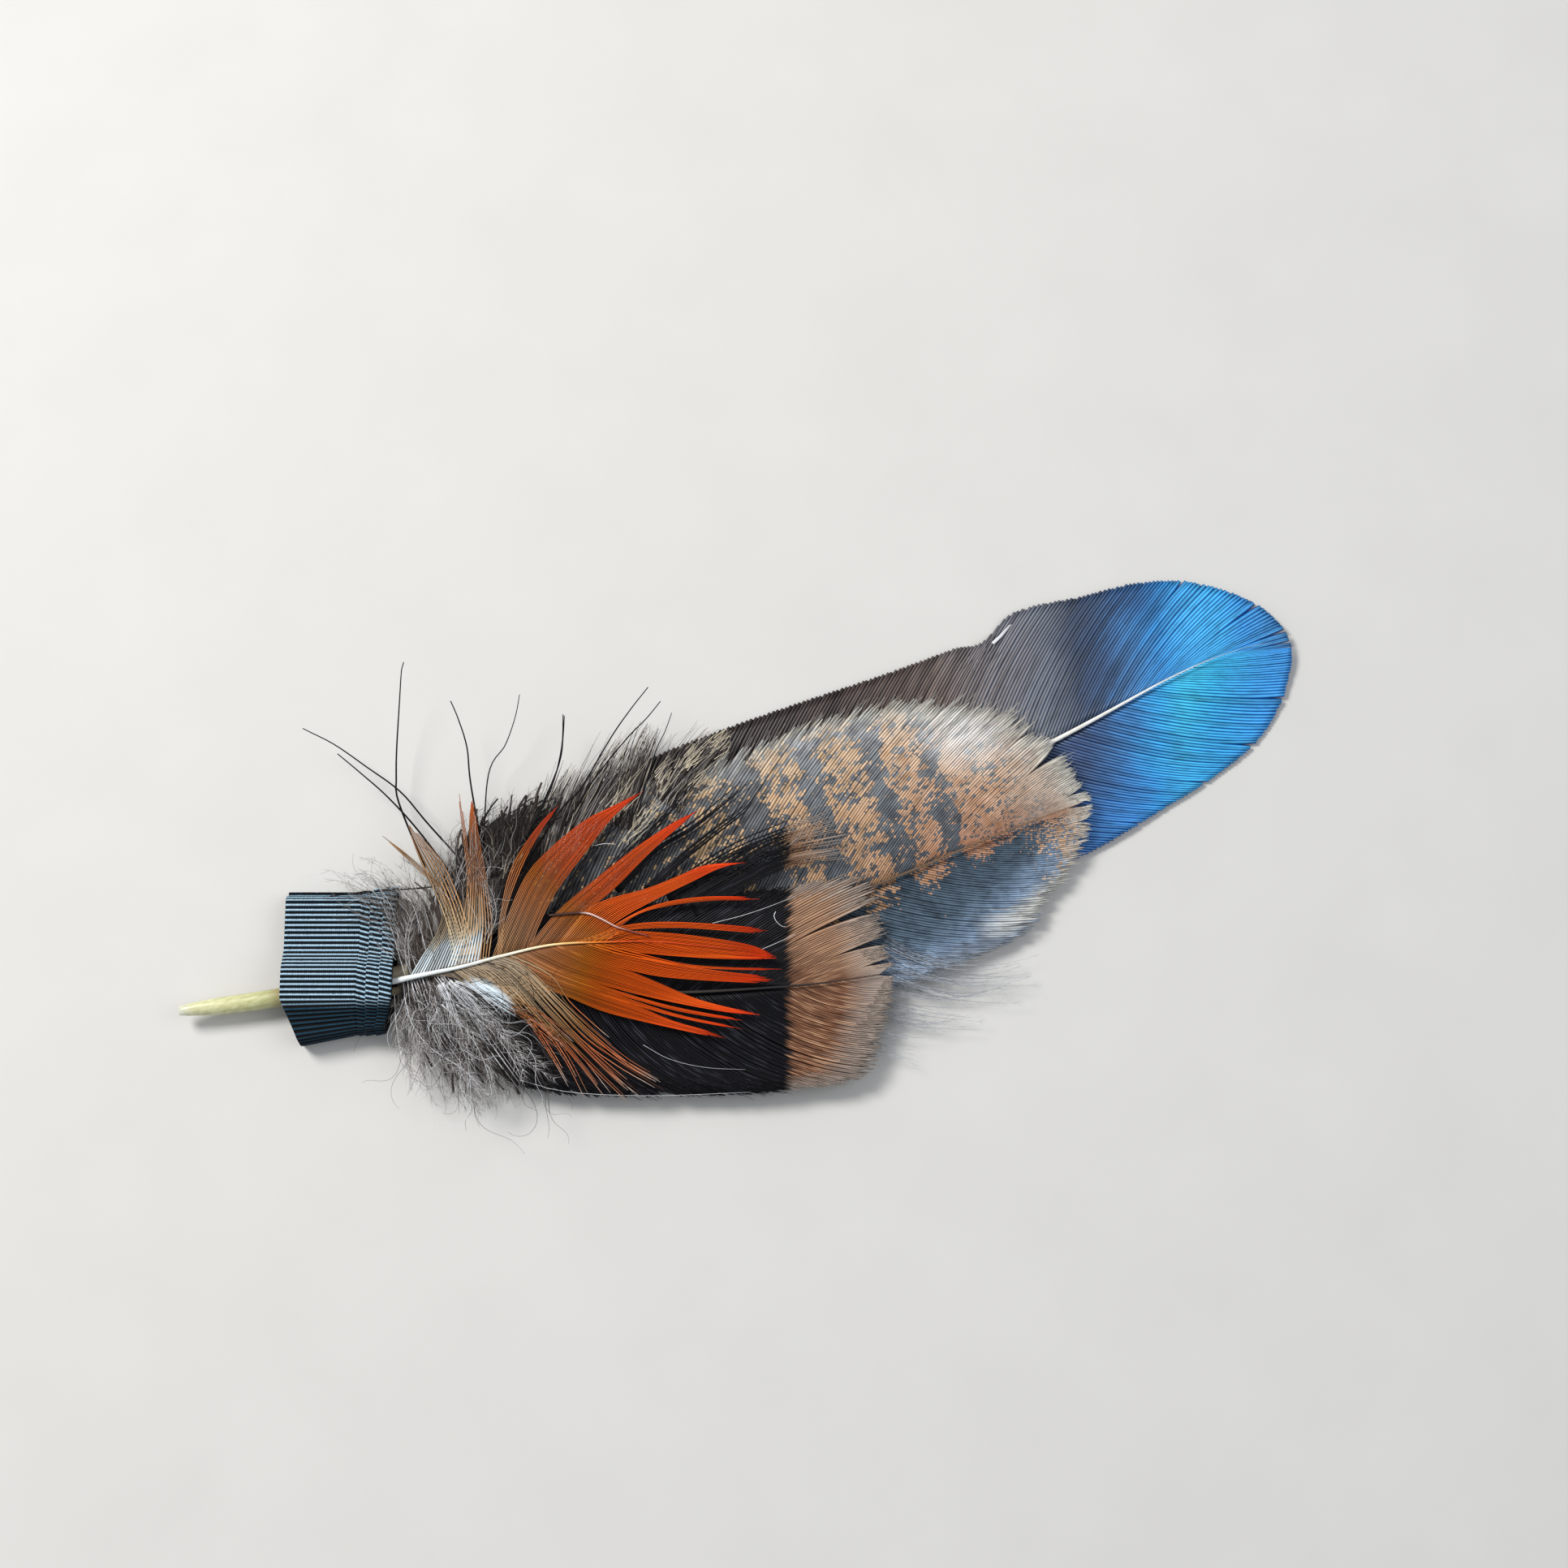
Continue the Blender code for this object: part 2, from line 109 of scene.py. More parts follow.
BLACK_TAN = {
    "layer": 2,
    "quill_z": SMALL_QUILL_Z,
    "spine": [(-60, -7.3), (-51, -8.5), (-40, -11.7), (-29.6, -15), (-16, -19.4), (-4.7, -22.5), (3, -24.4),
              (12, -26)],
    "radius": (0.6, 0.65, 0.5, 0.3, 0.15),
    "vane_from": 0.22,
    "vane_to": 0.98,
    "upper": [(-43, -5), (-36, -2), (-27, -4), (-16, -6.5), (-6, -9), (3, -10.5), (10, -11.6), (13.6, -13.2),
              (13.9, -17.6), (12.9, -25)],
    "lower": [(-46, -14), (-42.5, -22), (-36, -27), (-25.8, -30.9), (-10.3, -35.8), (-3, -37.4), (3, -38.5),
              (6.7, -37.2), (9, -33.7), (11.4, -30), (12.6, -26.6)],
    "upper_barbs": {"angles": [(0, 35), (0.4, 18), (0.7, 6), (0.9, -4), (1, -12)], "bow": 0.04, "count": 130},
    "lower_barbs": {"angles": [(0, -75), (0.3, -58), (0.6, -42), (0.85, -30), (1, -22)], "bow": -0.10,
                    "count": 150},
}
ORANGE = {
    "layer": 3,
    "quill_z": ORANGE_QUILL_Z,
    "spine": [(-61.5, -4.4), (-51, -5.8), (-43.3, -7.1), (-36.3, -7.6), (-29.5, -8.4), (-21.6, -10.7),
              (-15.9, -12.6), (-6, -17)],
    "radius": (0.55, 0.6, 0.45, 0.3, 0.15),
    "vane_from": 0.21,
}

# Places where a half vane parts: place along it, how far it opens as a share of the edge's length,
# where along the barb the gap starts, and how far to each side the barbs are drawn aside.
BLUE_UPPER_SPLITS = [(0.80, 0.0022, 0.7, 0.01), (0.90, 0.002, 0.5, 0.01), (0.955, 0.003, 0.3, 0.008),
                     (0.978, 0.002, 0.3, 0.006)]
BLUE_LOWER_SPLITS = [(0.62, 0.0018, 0.6, 0.008), (0.72, 0.002, 0.7, 0.01), (0.80, 0.003, 0.7, 0.01),
                     (0.88, 0.002, 0.6, 0.01)]
MOTTLED_UPPER_SPLITS = [(0.775, 0.009, 0.72, 0.02), (0.90, 0.006, 0.75, 0.02), (0.62, 0.003, 0.85, 0.01),
                        (0.52, 0.003, 0.85, 0.01), (0.70, 0.003, 0.85, 0.01)]
MOTTLED_LOWER_SPLITS = [(0.90, 0.006, 0.8, 0.02)]
BLACK_UPPER_SPLITS = [(0.62, 0.012, 0.45, 0.02), (0.74, 0.010, 0.5, 0.02), (0.84, 0.008, 0.6, 0.02)]
BLACK_LOWER_SPLITS = [(0.72, 0.003, 0.85, 0.02)]

# Free locks of barbs: root, tip, width at the root, bow, number of barbs.
FRINGE_LOCKS = [
    ((-36, 0), (-37.5, 9.2), 3.2, 0.12, 16), ((-34, 2), (-34.2, 10.8), 3.2, 0.12, 18),
    ((-31, 3), (-26.3, 12.4), 3.4, 0.06, 20), ((-27, 4), (-18.7, 15.2), 3.6, 0.05, 22),
    ((-22, 5), (-11, 16.2), 3.6, 0.04, 22), ((-16, 5), (-7.2, 17.4), 3.4, 0.04, 20),
    ((-9, 6), (1.5, 13.4), 3.2, 0.05, 18),
]
DOWN_LOCKS_BELOW = [
    ((-6, -23), (7.8, -32.6), 5, -0.08, 26), ((-1, -23), (14.8, -36.6), 6, -0.08, 30),
    ((5, -23), (23.2, -35.4), 6, -0.1, 30), ((12, -23), (31.5, -32.6), 6, -0.1, 26),
]
# Where short cream barbs show among the dark ones: x, y, their way in degrees, and how far they scatter.
CREAM_STREAKS = [(-4.6, 10.6, 30, 0.8), (-4.6, 7.0, 18, 0.8), (-16.0, 7.2, 34, 0.8), (-15.4, 2.2, 30, 1.0),
                 (-13.0, 4.4, 34, 0.7), (-0.6, 11.4, 26, 0.7), (-9.0, 9.4, 34, 0.8), (-32.6, 4.0, 50, 0.5)]
# Bunches of loose black barbs, whose ends are tan past the band: the line, width and number.
LOOSE_BARBS = [
    ([(-19.4, -3.7), (-12.4, 0.0), (-7.1, 1.3), (-1.5, 3.5), (3.1, 5.4)], 1.2, 7),
    ([(-15.4, -5.2), (-10.0, -2.6), (-4.4, -0.4), (1.2, 1.8), (4.2, 4.6)], 1.0, 6),
    ([(-13.2, -6.6), (-5.7, -4.5), (-0.5, -3.6), (5.4, -3.3), (12.2, -2.6)], 1.6, 8),
    ([(-12.9, -7.7), (-4.6, -5.9), (0.7, -4.7), (5.4, -4.3), (12.9, -4.6)], 1.4, 8),
    ([(-11.9, -8.4), (-3.1, -6.8), (1.4, -6.0), (5.6, -6.0), (13.2, -7.0)], 1.6, 9),
    ([(-10.4, -9.8), (-2.6, -8.4), (1.6, -7.6), (5.3, -7.6), (12.6, -9.0)], 1.6, 9),
    ([(-9.2, -6.3), (-4.6, -5.9), (0.3, -5.9), (4.9, -5.8), (10.4, -3.0)], 1.2, 5),
    ([(-17.8, -1.6), (-13.1, 2.0), (-7.2, 5.9), (-2.0, 8.9), (0.8, 10.2)], 0.4, 2),
    ([(-24, -4), (-17, 0.5), (-11, 3.6), (-5, 6)], 1.0, 4),
    ([(-28, -4), (-22, 1.5), (-17, 5), (-12, 8)], 1.0, 4),
]
# Long loose hairs: the line and how far the tip lifts.
HAIRS = [
    ([(-36.5, 4.0), (-40.7, 13.5), (-43.0, 19.1), (-46.4, 23.9), (-49.6, 28.1), (-52.9, 31.2)], 4),
    ([(-39.0, 3.0), (-42.1, 12.6), (-44.8, 18.8), (-47.5, 23.4), (-49.5, 26.5)], 3),
    ([(-43.0, 8.0), (-43.7, 17.8), (-43.0, 21.2), (-41.2, 26.3), (-38.0, 33.7), (-37.0, 35.2)], 5),
    ([(-35.5, 2.0), (-33.7, 16.3), (-32.5, 21.9), (-32.4, 26.0), (-32.6, 28.2)], 4),
    ([(-36.0, 4.0), (-31.1, 17.2), (-27.4, 20.7), (-24.9, 23.8), (-23.4, 26.3)], 3),
    ([(-36.5, -3.0), (-31.5, 5.0), (-27.4, 8.8), (-23.1, 13.2), (-20.2, 17.7), (-18.6, 21.7)], 3),
    ([(-31.0, 3.0), (-22.9, 9.8), (-19.6, 11.6), (-13.5, 16.9), (-9.6, 19.7), (-6.4, 21.6)], 3),
    ([(-23.2, 7.4), (-17.3, 12.4), (-11.4, 16.2), (-8.0, 17.8), (-5.4, 19.2)], 3),
    ([(-13.8, 5.8), (-10.6, 9.8), (-8.1, 13.4), (-6.1, 15.4), (-4.4, 17.4)], 2),
    ([(-31.0, 5.0), (-23.7, 12.9), (-20.9, 16.4), (-19.5, 19.3), (-18.5, 21.7)], 2),
    ([(-33.3, 3.8), (-37.4, 4.4), (-43.2, 5.2), (-49.7, 7.0), (-56.5, 8.4)], 0),
]
# Locks of the orange feather, round its vane: one edge and the other, from the shaft to the tip,
# and the number of barbs between them.
FLAMES = [
    ([(-43.2, -7.0), (-41.9, 3.2), (-43.6, 7.2), (-45.4, 10.7), (-47.5, 14.6)],
     [(-41.6, -7.1), (-41.2, 3.3), (-43.0, 7.3), (-44.9, 10.6), (-47.5, 14.4)], 5),
    ([(-42.4, -7.1), (-42.3, 0.0), (-42.7, 5.3), (-43.2, 9.3), (-43.5, 14.8)],
     [(-40.0, -7.3), (-39.8, 0.1), (-40.1, 4.8), (-40.7, 8.2), (-43.3, 14.6)], 7),
    ([(-41.5, -7.2), (-40.0, -2.0), (-38.4, 2.6), (-37.1, 8.2), (-35.4, 16.9)],
     [(-41.1, -7.2), (-39.5, -2.0), (-38.0, 2.6), (-36.7, 8.2), (-35.2, 16.9)], 3),
    ([(-42.4, -7.2), (-40.7, -2.5), (-38.8, 1.8), (-36.9, 6.7), (-35.7, 10.7), (-34.1, 15.1)],
     [(-38.5, -7.4), (-36.8, -3.6), (-36.0, 0.3), (-35.3, 5.2), (-34.6, 10.3), (-33.9, 15.0)], 11),
    ([(-37.2, -7.5), (-35.3, -2.5), (-31.9, 3.6), (-27.3, 7.8), (-22.7, 10.5)],
     [(-36.7, -7.6), (-34.4, -2.1), (-30.7, 3.2), (-26.8, 7.3), (-22.7, 10.3)], 4),
    ([(-38.0, -7.5), (-35.6, -4.4), (-30.4, 1.9), (-25.8, 4.8), (-20.3, 7.0), (-16.4, 7.6), (-11.4, 8.4)],
     [(-32.8, -7.9), (-30.3, -4.8), (-27.0, -1.4), (-22.0, 2.4), (-17.4, 5.7), (-14.3, 7.3), (-11.4, 8.3)], 18),
    ([(-33.4, -7.9), (-27.8, -4.3), (-22.2, -1.9), (-14.9, 0.9), (-9.0, 2.6), (-5.0, 3.4)],
     [(-28.6, -8.6), (-23.3, -5.3), (-19.5, -3.7), (-13.7, -0.6), (-9.5, 1.4), (-4.9, 3.3)], 14),
    ([(-29.2, -8.5), (-22.9, -5.1), (-15.1, -5.2), (-10.2, -4.9), (-6.9, -4.7), (-1.2, -6.2)],
     [(-25.2, -9.6), (-19.9, -7.9), (-14.3, -6.9), (-9.0, -6.2), (-5.0, -5.7), (-1.2, -6.2)], 12),
    ([(-25.4, -9.6), (-18.8, -8.05), (-14.2, -7.75), (-8.3, -8.8), (-1.0, -11.3)],
     [(-23.0, -10.2), (-18.1, -8.2), (-13.0, -8.4), (-7.0, -9.7), (-1.2, -11.7)], 5),
    ([(-27.2, -9.0), (-22.9, -9.0), (-19.4, -9.1), (-15.1, -10.1), (-9.4, -12.2), (-1.3, -15.6)],
     [(-23.0, -10.2), (-20.4, -9.6), (-17.7, -10.1), (-12.5, -11.7), (-6.8, -14.0), (-1.5, -16.2)], 5),
    ([(-25.0, -9.7), (-20.7, -9.6), (-15.6, -11.4), (-10.0, -13.9), (-4.5, -16.8), (-1.3, -19.4)],
     [(-16.1, -12.5), (-14.5, -13.6), (-12.0, -15.0), (-9.3, -16.4), (-6.4, -17.7), (-1.4, -19.6)], 12),
    ([(-16.7, -12.3), (-14.5, -13.6), (-12.0, -15.0), (-9.3, -16.4), (-6.4, -17.7), (-1.4, -19.5)],
     [(-25.5, -9.5), (-20.4, -12.3), (-17.9, -13.5), (-13.7, -15.3), (-8.0, -17.5), (-1.4, -19.7)], 9),
    ([(-23.7, -10.0), (-20.4, -12.3), (-14.0, -16.2), (-8.3, -18.6), (-1.4, -21.0)],
     [(-25.5, -9.6), (-21.6, -12.3), (-14.2, -16.4), (-8.4, -18.8), (-1.4, -21.2)], 3),
    ([(-24.9, -9.7), (-21.2, -12.6), (-18.1, -14.2), (-14.0, -16.5), (-8.5, -19.2), (-2.3, -21.9)],
     [(-29.6, -8.4), (-24.9, -12.2), (-21.2, -14.6), (-17.4, -16.8), (-11.8, -19.2), (-3.2, -22.5)], 11),
    ([(-29.1, -8.5), (-25.0, -12.2), (-21.3, -14.7), (-17.7, -17.7), (-14.0, -20.9), (-10.0, -23.6), (-5.8, -26.0)],
     [(-34.2, -7.8), (-30.4, -11.6), (-25.8, -14.9), (-21.1, -18.0), (-15.7, -21.2), (-10.2, -24.2), (-5.9, -26.2)],
     17),
    ([(-34.0, -7.8), (-30.2, -11.7), (-25.9, -15.0), (-21.2, -18.4), (-15.9, -21.8), (-7.7, -26.3)],
     [(-34.9, -7.7), (-30.9, -11.8), (-26.5, -15.3), (-21.4, -18.7), (-16.0, -22.2), (-7.8, -26.5)], 4),
    ([(-34.7, -7.7), (-30.8, -11.8), (-26.4, -15.3), (-21.4, -19.0), (-16.2, -22.7), (-9.0, -26.9)],
     [(-35.6, -7.7), (-31.7, -12.0), (-27.0, -15.6), (-21.6, -19.4), (-16.3, -23.0), (-9.1, -27.1)], 4),
    ([(-35.4, -7.7), (-31.6, -11.9), (-27.4, -15.3), (-22.4, -18.8), (-17.8, -22.8), (-13.9, -25.5), (-11.2, -27.5)],
     [(-39.0, -7.4), (-35.4, -11.0), (-32.8, -13.3), (-30.1, -15.3), (-26.1, -18.7), (-20.8, -22.1), (-11.7, -27.6)],
     13),
]
# White barbs at the root of the orange vane, as locks.
ROOT_LOCKS = [
    ([(-49.4, -6.1), (-46.8, -4.0), (-43.9, -1.6), (-41.6, 2.0)],
     [(-40.0, -7.3), (-38.8, -5.0), (-37.6, -2.2), (-36.4, 2.4)], 22),
    ([(-47.0, -6.7), (-43.6, -8.2), (-40.2, -10.9), (-36.4, -15.0)],
     [(-38.4, -7.5), (-36.4, -8.9), (-34.0, -11.2), (-30.6, -14.8)], 22),
]
# Loose lower strands of the orange feather, from the shaft to the tip.
LOWER_STRANDS = [
    ([(-41.5, -7.3), (-39.4, -9.1), (-36.3, -15.4), (-34.5, -21.2), (-33.3, -26.8)], 0.6, 3),
    ([(-40.8, -7.3), (-38.4, -9.3), (-35.2, -15.3), (-32.8, -22.3), (-31.6, -29.2)], 0.6, 3),
    ([(-40.0, -7.3), (-37.4, -9.4), (-34.7, -15.4), (-32.3, -20.9), (-30.6, -25.2), (-29.0, -29.7)], 0.9, 4),
    ([(-39.4, -7.4), (-36.4, -9.7), (-33.8, -15.7), (-30.8, -21.9), (-28.4, -26.7), (-26.0, -31.2)], 1.1, 6),
    ([(-38.8, -7.4), (-35.9, -9.7), (-33.2, -15.7), (-30.3, -21.8), (-27.6, -26.7), (-24.7, -31.2)], 0.9, 5),
    ([(-38.0, -7.5), (-34.9, -9.9), (-32.0, -16.1), (-29.4, -21.6), (-26.1, -26.2), (-22.4, -30.4)], 0.9, 5),
    ([(-37.4, -7.5), (-34.4, -10.0), (-31.2, -16.1), (-28.1, -21.8), (-25.0, -26.6), (-21.2, -31.0)], 0.7, 4),
    ([(-36.0, -7.7), (-31.5, -12.1), (-30.2, -16.1), (-28.1, -20.0), (-26.2, -23.2)], 0.4, 2),
    ([(-43.4, -7.1), (-40.9, -10.5), (-38.6, -13.5), (-35.5, -17.2), (-32.6, -22.0)], 1.4, 8),
    ([(-42.4, -7.2), (-39.6, -10.3), (-37.2, -13.6), (-34.4, -16.8), (-31.4, -21.6)], 1.4, 8),
]
# Down at the root of the orange feather: lines in the order they stand, below and above the shaft.
DOWN_BELOW = [
    [(-50.8, -6.0), (-51.8, -10.0), (-53.0, -14.6), (-53.2, -19.0)],
    [(-49.8, -6.2), (-50.5, -11.8), (-50.6, -17.4), (-50.8, -23.4)],
    [(-48.6, -6.6), (-48.4, -12.7), (-47.4, -19.1), (-45.2, -26.4)],
    [(-47.1, -6.8), (-46.5, -11.9), (-45.2, -17.9), (-44.0, -27.0)],
    [(-45.5, -6.9), (-43.1, -13.9), (-41.6, -19.8), (-40.5, -27.4)],
    [(-44.2, -7.0), (-41.3, -14.7), (-40.3, -20.4), (-38.9, -27.4)],
    [(-43.2, -7.1), (-39.3, -14.9), (-37.8, -20.6), (-36.9, -25.6)],
    [(-42.2, -7.2), (-37.9, -15.6), (-36.5, -19.9), (-35.4, -23.7)],
]
DOWN_ABOVE = [
    [(-49.4, -5.6), (-49.4, 4.6), (-51.5, 9.2), (-55.6, 11.0), (-59.3, 11.6)],
    [(-48.6, -5.8), (-48.5, 5.3), (-49.9, 8.9), (-51.2, 10.7), (-54.0, 11.1)],
    [(-47.8, -6.0), (-47.1, 3.3), (-49.0, 6.6), (-51.3, 8.4)],
    [(-46.6, -6.4), (-46.3, 3.9), (-47.9, 7.5), (-48.8, 10.2)],
    [(-45.4, -6.8), (-44.4, 4.7), (-45.6, 8.2), (-46.5, 11.6)],
    [(-44.0, -7.0), (-42.6, 1.4), (-42.0, 5.6), (-41.2, 9.6)],
    [(-42.0, -7.2), (-39.6, 1.0), (-37.8, 5.0), (-35.6, 9.0)],
    [(-40.0, -7.3), (-36.0, 0.0), (-33.0, 4.4), (-29.6, 8.0)],
]
# Flat dark barbs beneath the down, below and above the shaft.
UNDER_BELOW = [
    [(-49.6, -6.2), (-49.8, -11.0), (-49.6, -16.0), (-49.0, -21.0)],
    [(-47.6, -6.8), (-46.8, -12.4), (-45.4, -18.0), (-43.6, -24.4)],
    [(-44.6, -7.0), (-42.4, -14.0), (-40.8, -19.8), (-39.0, -25.6)],
    [(-42.0, -7.2), (-37.9, -14.6), (-35.8, -19.4), (-33.4, -24.6)],
]
UNDER_ABOVE = [
    [(-49.0, -5.8), (-48.6, -2.0), (-48.6, 1.6), (-49.0, 4.6)],
    [(-47.0, -6.2), (-45.6, -1.6), (-45.0, 2.6), (-45.2, 6.0)],
    [(-43.4, -7.0), (-40.8, -1.0), (-39.6, 4.0), (-38.6, 8.0)],
    [(-39.0, -7.3), (-35.4, -1.0), (-33.4, 4.0), (-31.2, 8.0)],
]
# Where loose down hairs start: x, y, their way in degrees, and how far they scatter.
CURLS_BELOW = [(-50, -8, -100, 0.8), (-47.5, -8.5, -88, 1.2), (-44.5, -9.5, -72, 1.4), (-41, -11, -58, 1.4),
               (-48.5, -13, -85, 1.6), (-44.5, -15, -72, 2.0), (-40, -16.5, -58, 2.0), (-45.5, -19, -75, 2.0),
               (-39, -20, -50, 2.0)]
CURLS_ABOVE = [(-49.5, -3, 105, 0.8), (-48, 0, 100, 1.2), (-45, 2, 85, 1.4), (-41.5, 3, 75, 1.6), (-38, 3, 60, 1.6),
               (-50, 4, 140, 1.2), (-46.5, -4, 95, 1.2), (-37, 5, 95, 1.8), (-33.5, 5, 75, 1.8)]
# White barbs that stand out of the down: the line, width and number.
WHITE_STRANDS = [
    ([(-48.6, -6.6), (-48.4, -12.7), (-46.8, -19.1), (-43.0, -25.2)], 1.6, 5),
    ([(-45.5, -6.9), (-43.1, -13.9), (-41.6, -18.8), (-39.5, -25.3)], 1.4, 5),
    ([(-45.7, -8.6), (-46.8, -12.6), (-47.2, -15.6)], 1.2, 9),
    ([(-43.4, -7.1), (-41.9, -11.5), (-40.0, -16.0), (-38.6, -21.5)], 1.2, 4),
    ([(-49.8, -6.2), (-50.7, -11.8), (-50.6, -17.4), (-49.8, -22.4)], 1.2, 3),
    ([(-49.4, -5.6), (-49.4, 4.6), (-51.5, 9.2), (-55.6, 11.0), (-59.3, 11.6)], 1.0, 2),
    ([(-48.6, -5.8), (-48.9, 3.0), (-50.9, 6.0), (-54.3, 6.1)], 1.0, 2),
    ([(-45.6, -6.8), (-45.4, 2.7), (-46.6, 6.2), (-47.5, 9.9)], 1.4, 2),
    ([(-43.0, -7.1), (-41.6, 0.4), (-40.0, 4.6), (-37.2, 8.0)], 2.0, 3),
    ([(-40.5, -7.2), (-37.6, 0.0), (-35.4, 4.4), (-32.2, 7.6)], 2.0, 3),
]
# White tufts that stand out of the down.
WHITE_TUFTS = [
    ((-45.6, -8.4), (-45.4, -15.8), 1.0, 0.04, 7), ((-44.6, -8.6), (-40.6, -17.6), 1.0, 0.05, 7),
    ((-43.8, -9.0), (-38.6, -16.4), 0.8, 0.05, 5),
]
# Plumes of down, each a fine shaft with soft hairs along both sides.
DOWN_PLUMES = [
    [(-46.1, -10.9), (-44.3, -14.5), (-43.2, -18.3), (-43.0, -22.3), (-43.6, -26.0)],
    [(-46.0, -11.5), (-45.1, -15.2), (-45.3, -19.1), (-46.7, -22.5)],
    [(-47.1, -9.6), (-47.6, -12.7), (-48.3, -15.8)],
    [(-51.1, -8.3), (-51.2, -12.2), (-49.8, -16.1), (-46.4, -20.6), (-43.8, -26.0)],
    [(-51.8, -7.5), (-52.8, -11.6), (-53.4, -16.2), (-53.0, -19.8)],
    [(-50.5, -9.5), (-50.5, -13.9), (-51.3, -17.5), (-52.4, -20.9)],
    [(-44.3, -11.5), (-41.3, -15.5), (-39.4, -20.1), (-38.8, -24.2)],
    [(-41.9, -12.9), (-39.5, -17.6), (-36.7, -22.5), (-34.5, -25.0)],
    [(-49.2, -5.0), (-48.1, -0.9), (-46.0, 2.3), (-43.4, 4.3)],
    [(-38.3, -5.2), (-36.0, -2.1), (-35.6, 1.2), (-36.2, 3.9)],
]
# Dark down at the root of the mottled feather.
DARK_DOWN = [
    [(-38.6, -3.0), (-38.8, 3.6), (-37.6, 8.4), (-34.2, 11.6)],
    [(-36.4, -3.0), (-35.6, 4.2), (-34.2, 9.2), (-29.8, 12.4)],
    [(-34.6, -3.0), (-32.6, 4.6), (-30.4, 9.4), (-25.4, 12.4)],
    [(-32.0, -3.0), (-29.0, 4.4), (-26.6, 9.0), (-21.6, 11.8)],
]

# One barb of the orange feather that curls over its vane, and pale stray barbs on the black one.
CURLED_BARB = [(-29.0, -4.4), (-24.5, -5.6), (-22.7, -6.9), (-20.9, -8.8), (-19.5, -9.8), (-17.0, -11.5)]
PALE_STRAYS = [
    ([(0.2, -13.5), (-0.2, -14.0), (-0.1, -14.8), (0.4, -15.6), (0.9, -15.8)], 0.05),
    ([(-39.6, -23.8), (-33.9, -27.4), (-23.7, -31.4), (-10.7, -35.3)], 0.028),
    ([(-8.4, -12.3), (-4.2, -12.6), (-0.4, -12.6), (3.4, -12.4)], 0.032),
    ([(-4.8, -17.7), (-1.4, -17.5), (1.8, -17.2)], 0.03),
    ([(-20.2, 3.3), (-18.8, 3.1), (-17.4, 2.5)], 0.05),
    ([(-22.4, -24.6), (-19.6, -27.6), (-15.4, -30.2), (-10.4, -32.2)], 0.028),
]
PALE_EDGE = [(41.2, 13.5), (42.6, 14.2), (44.5, 15.4)]

LOOP_LENGTH = 15.4
LOOP_WIDTH = 20.8
LOOP_WALL = 0.8
LOOP_MIDDLE = (-58.1, -1.6)
LOOP_TURN = math.radians(-18.7)
LOOP_SLOT = (2.4, 1.5)
LOOP_CROWN = 5.0
LOOP_CROWN_AT = -2.7
LOOP_CROWN_REACH = 4.2
LOOP_BEND_AT = -4.4
PLY_STARTS = (2.6, 3.9, 5.7)
PLY_STEP = 0.22
RIB_PITCH = 0.7
RIB_DEPTH = 0.22

CAMERA_AT = (-21.61, -80.12, 425.08)
CAMERA_TILT = math.radians(12)
CAMERA_TURN = math.radians(-18.7)
CAMERA_FOV = math.radians(28)


FRINGE_SHADES = [(0, "241e1c"), (0.55, "3c332f"), (0.74, "8a8482"), (0.82, "a6a2a2"), (0.9, "d4c8b0"), (1, "2a2422")]
GREY_SHADES = [(0, "4a4e56"), (0.5, "767c86"), (0.8, "b4bac4"), (1, "5c606a")]
DARK_SHADES = [(0, "0e0b0b"), (0.6, "241d1b"), (0.85, "4a3f3a"), (1, "161212")]
HAIR_SHADES = [(0, "030204"), (1, "0c0a0e")]
BROWN_SHADES = [(0, "1e1917"), (0.5, "423a36"), (0.78, "746a64"), (0.92, "c8c6c8"), (1, "2e2825")]
PLUME_SHADES = [(0, "6c625c"), (0.5, "a49e9a"), (0.85, "e0e0e2"), (1, "f4f6fa")]
DARK_BROWN_SHADES = [(0, "2e2623"), (0.5, "54483f"), (0.8, "82766c"), (0.92, "ccc8c6"), (1, "3c322d")]
UNDER_SHADES = [(0, "2a2422"), (0.6, "443a36"), (1, "5c504a")]
WHITE_SHADES = [(0, "b8b8ba"), (0.5, "e4e6ea"), (1, "f4f6fa")]


def linear(code, gain=1.0):
    """A colour written as RRGGBB, as linear red, green, blue and alpha, made lighter by gain."""
    parts = [int(code[i:i + 2], 16) / 255 for i in (0, 2, 4)]
    parts = [c / 12.92 if c <= 0.04045 else ((c + 0.055) / 1.055) ** 2.4 for c in parts]
    return (*[min(c * gain, 1.0) for c in parts], 1.0)


def smooth_line(points, steps=12):
    """A smooth line through the points, as a function of 0 to 1 along its length."""
    p = np.array(points, float)
    p = np.vstack([2 * p[0] - p[1], p, 2 * p[-1] - p[-2]])
    made = []
    for i in range(1, len(p) - 2):
        for t in np.arange(steps) / steps:
            made.append(0.5 * (2 * p[i] + (p[i + 1] - p[i - 1]) * t
                               + (2 * p[i - 1] - 5 * p[i] + 4 * p[i + 1] - p[i + 2]) * t**2
                               + (3 * p[i] - p[i - 1] - 3 * p[i + 1] + p[i + 2]) * t**3))
    made = np.array(made + [p[-2]])
    run = np.append(0, np.cumsum(np.linalg.norm(np.diff(made, axis=0), axis=1)))
    run /= run[-1]
    return lambda t: np.stack([np.interp(t, run, column) for column in made.T], axis=-1)


BLUE_LINE = smooth_line(BLUE["spine"])(np.linspace(0, 1, 200))


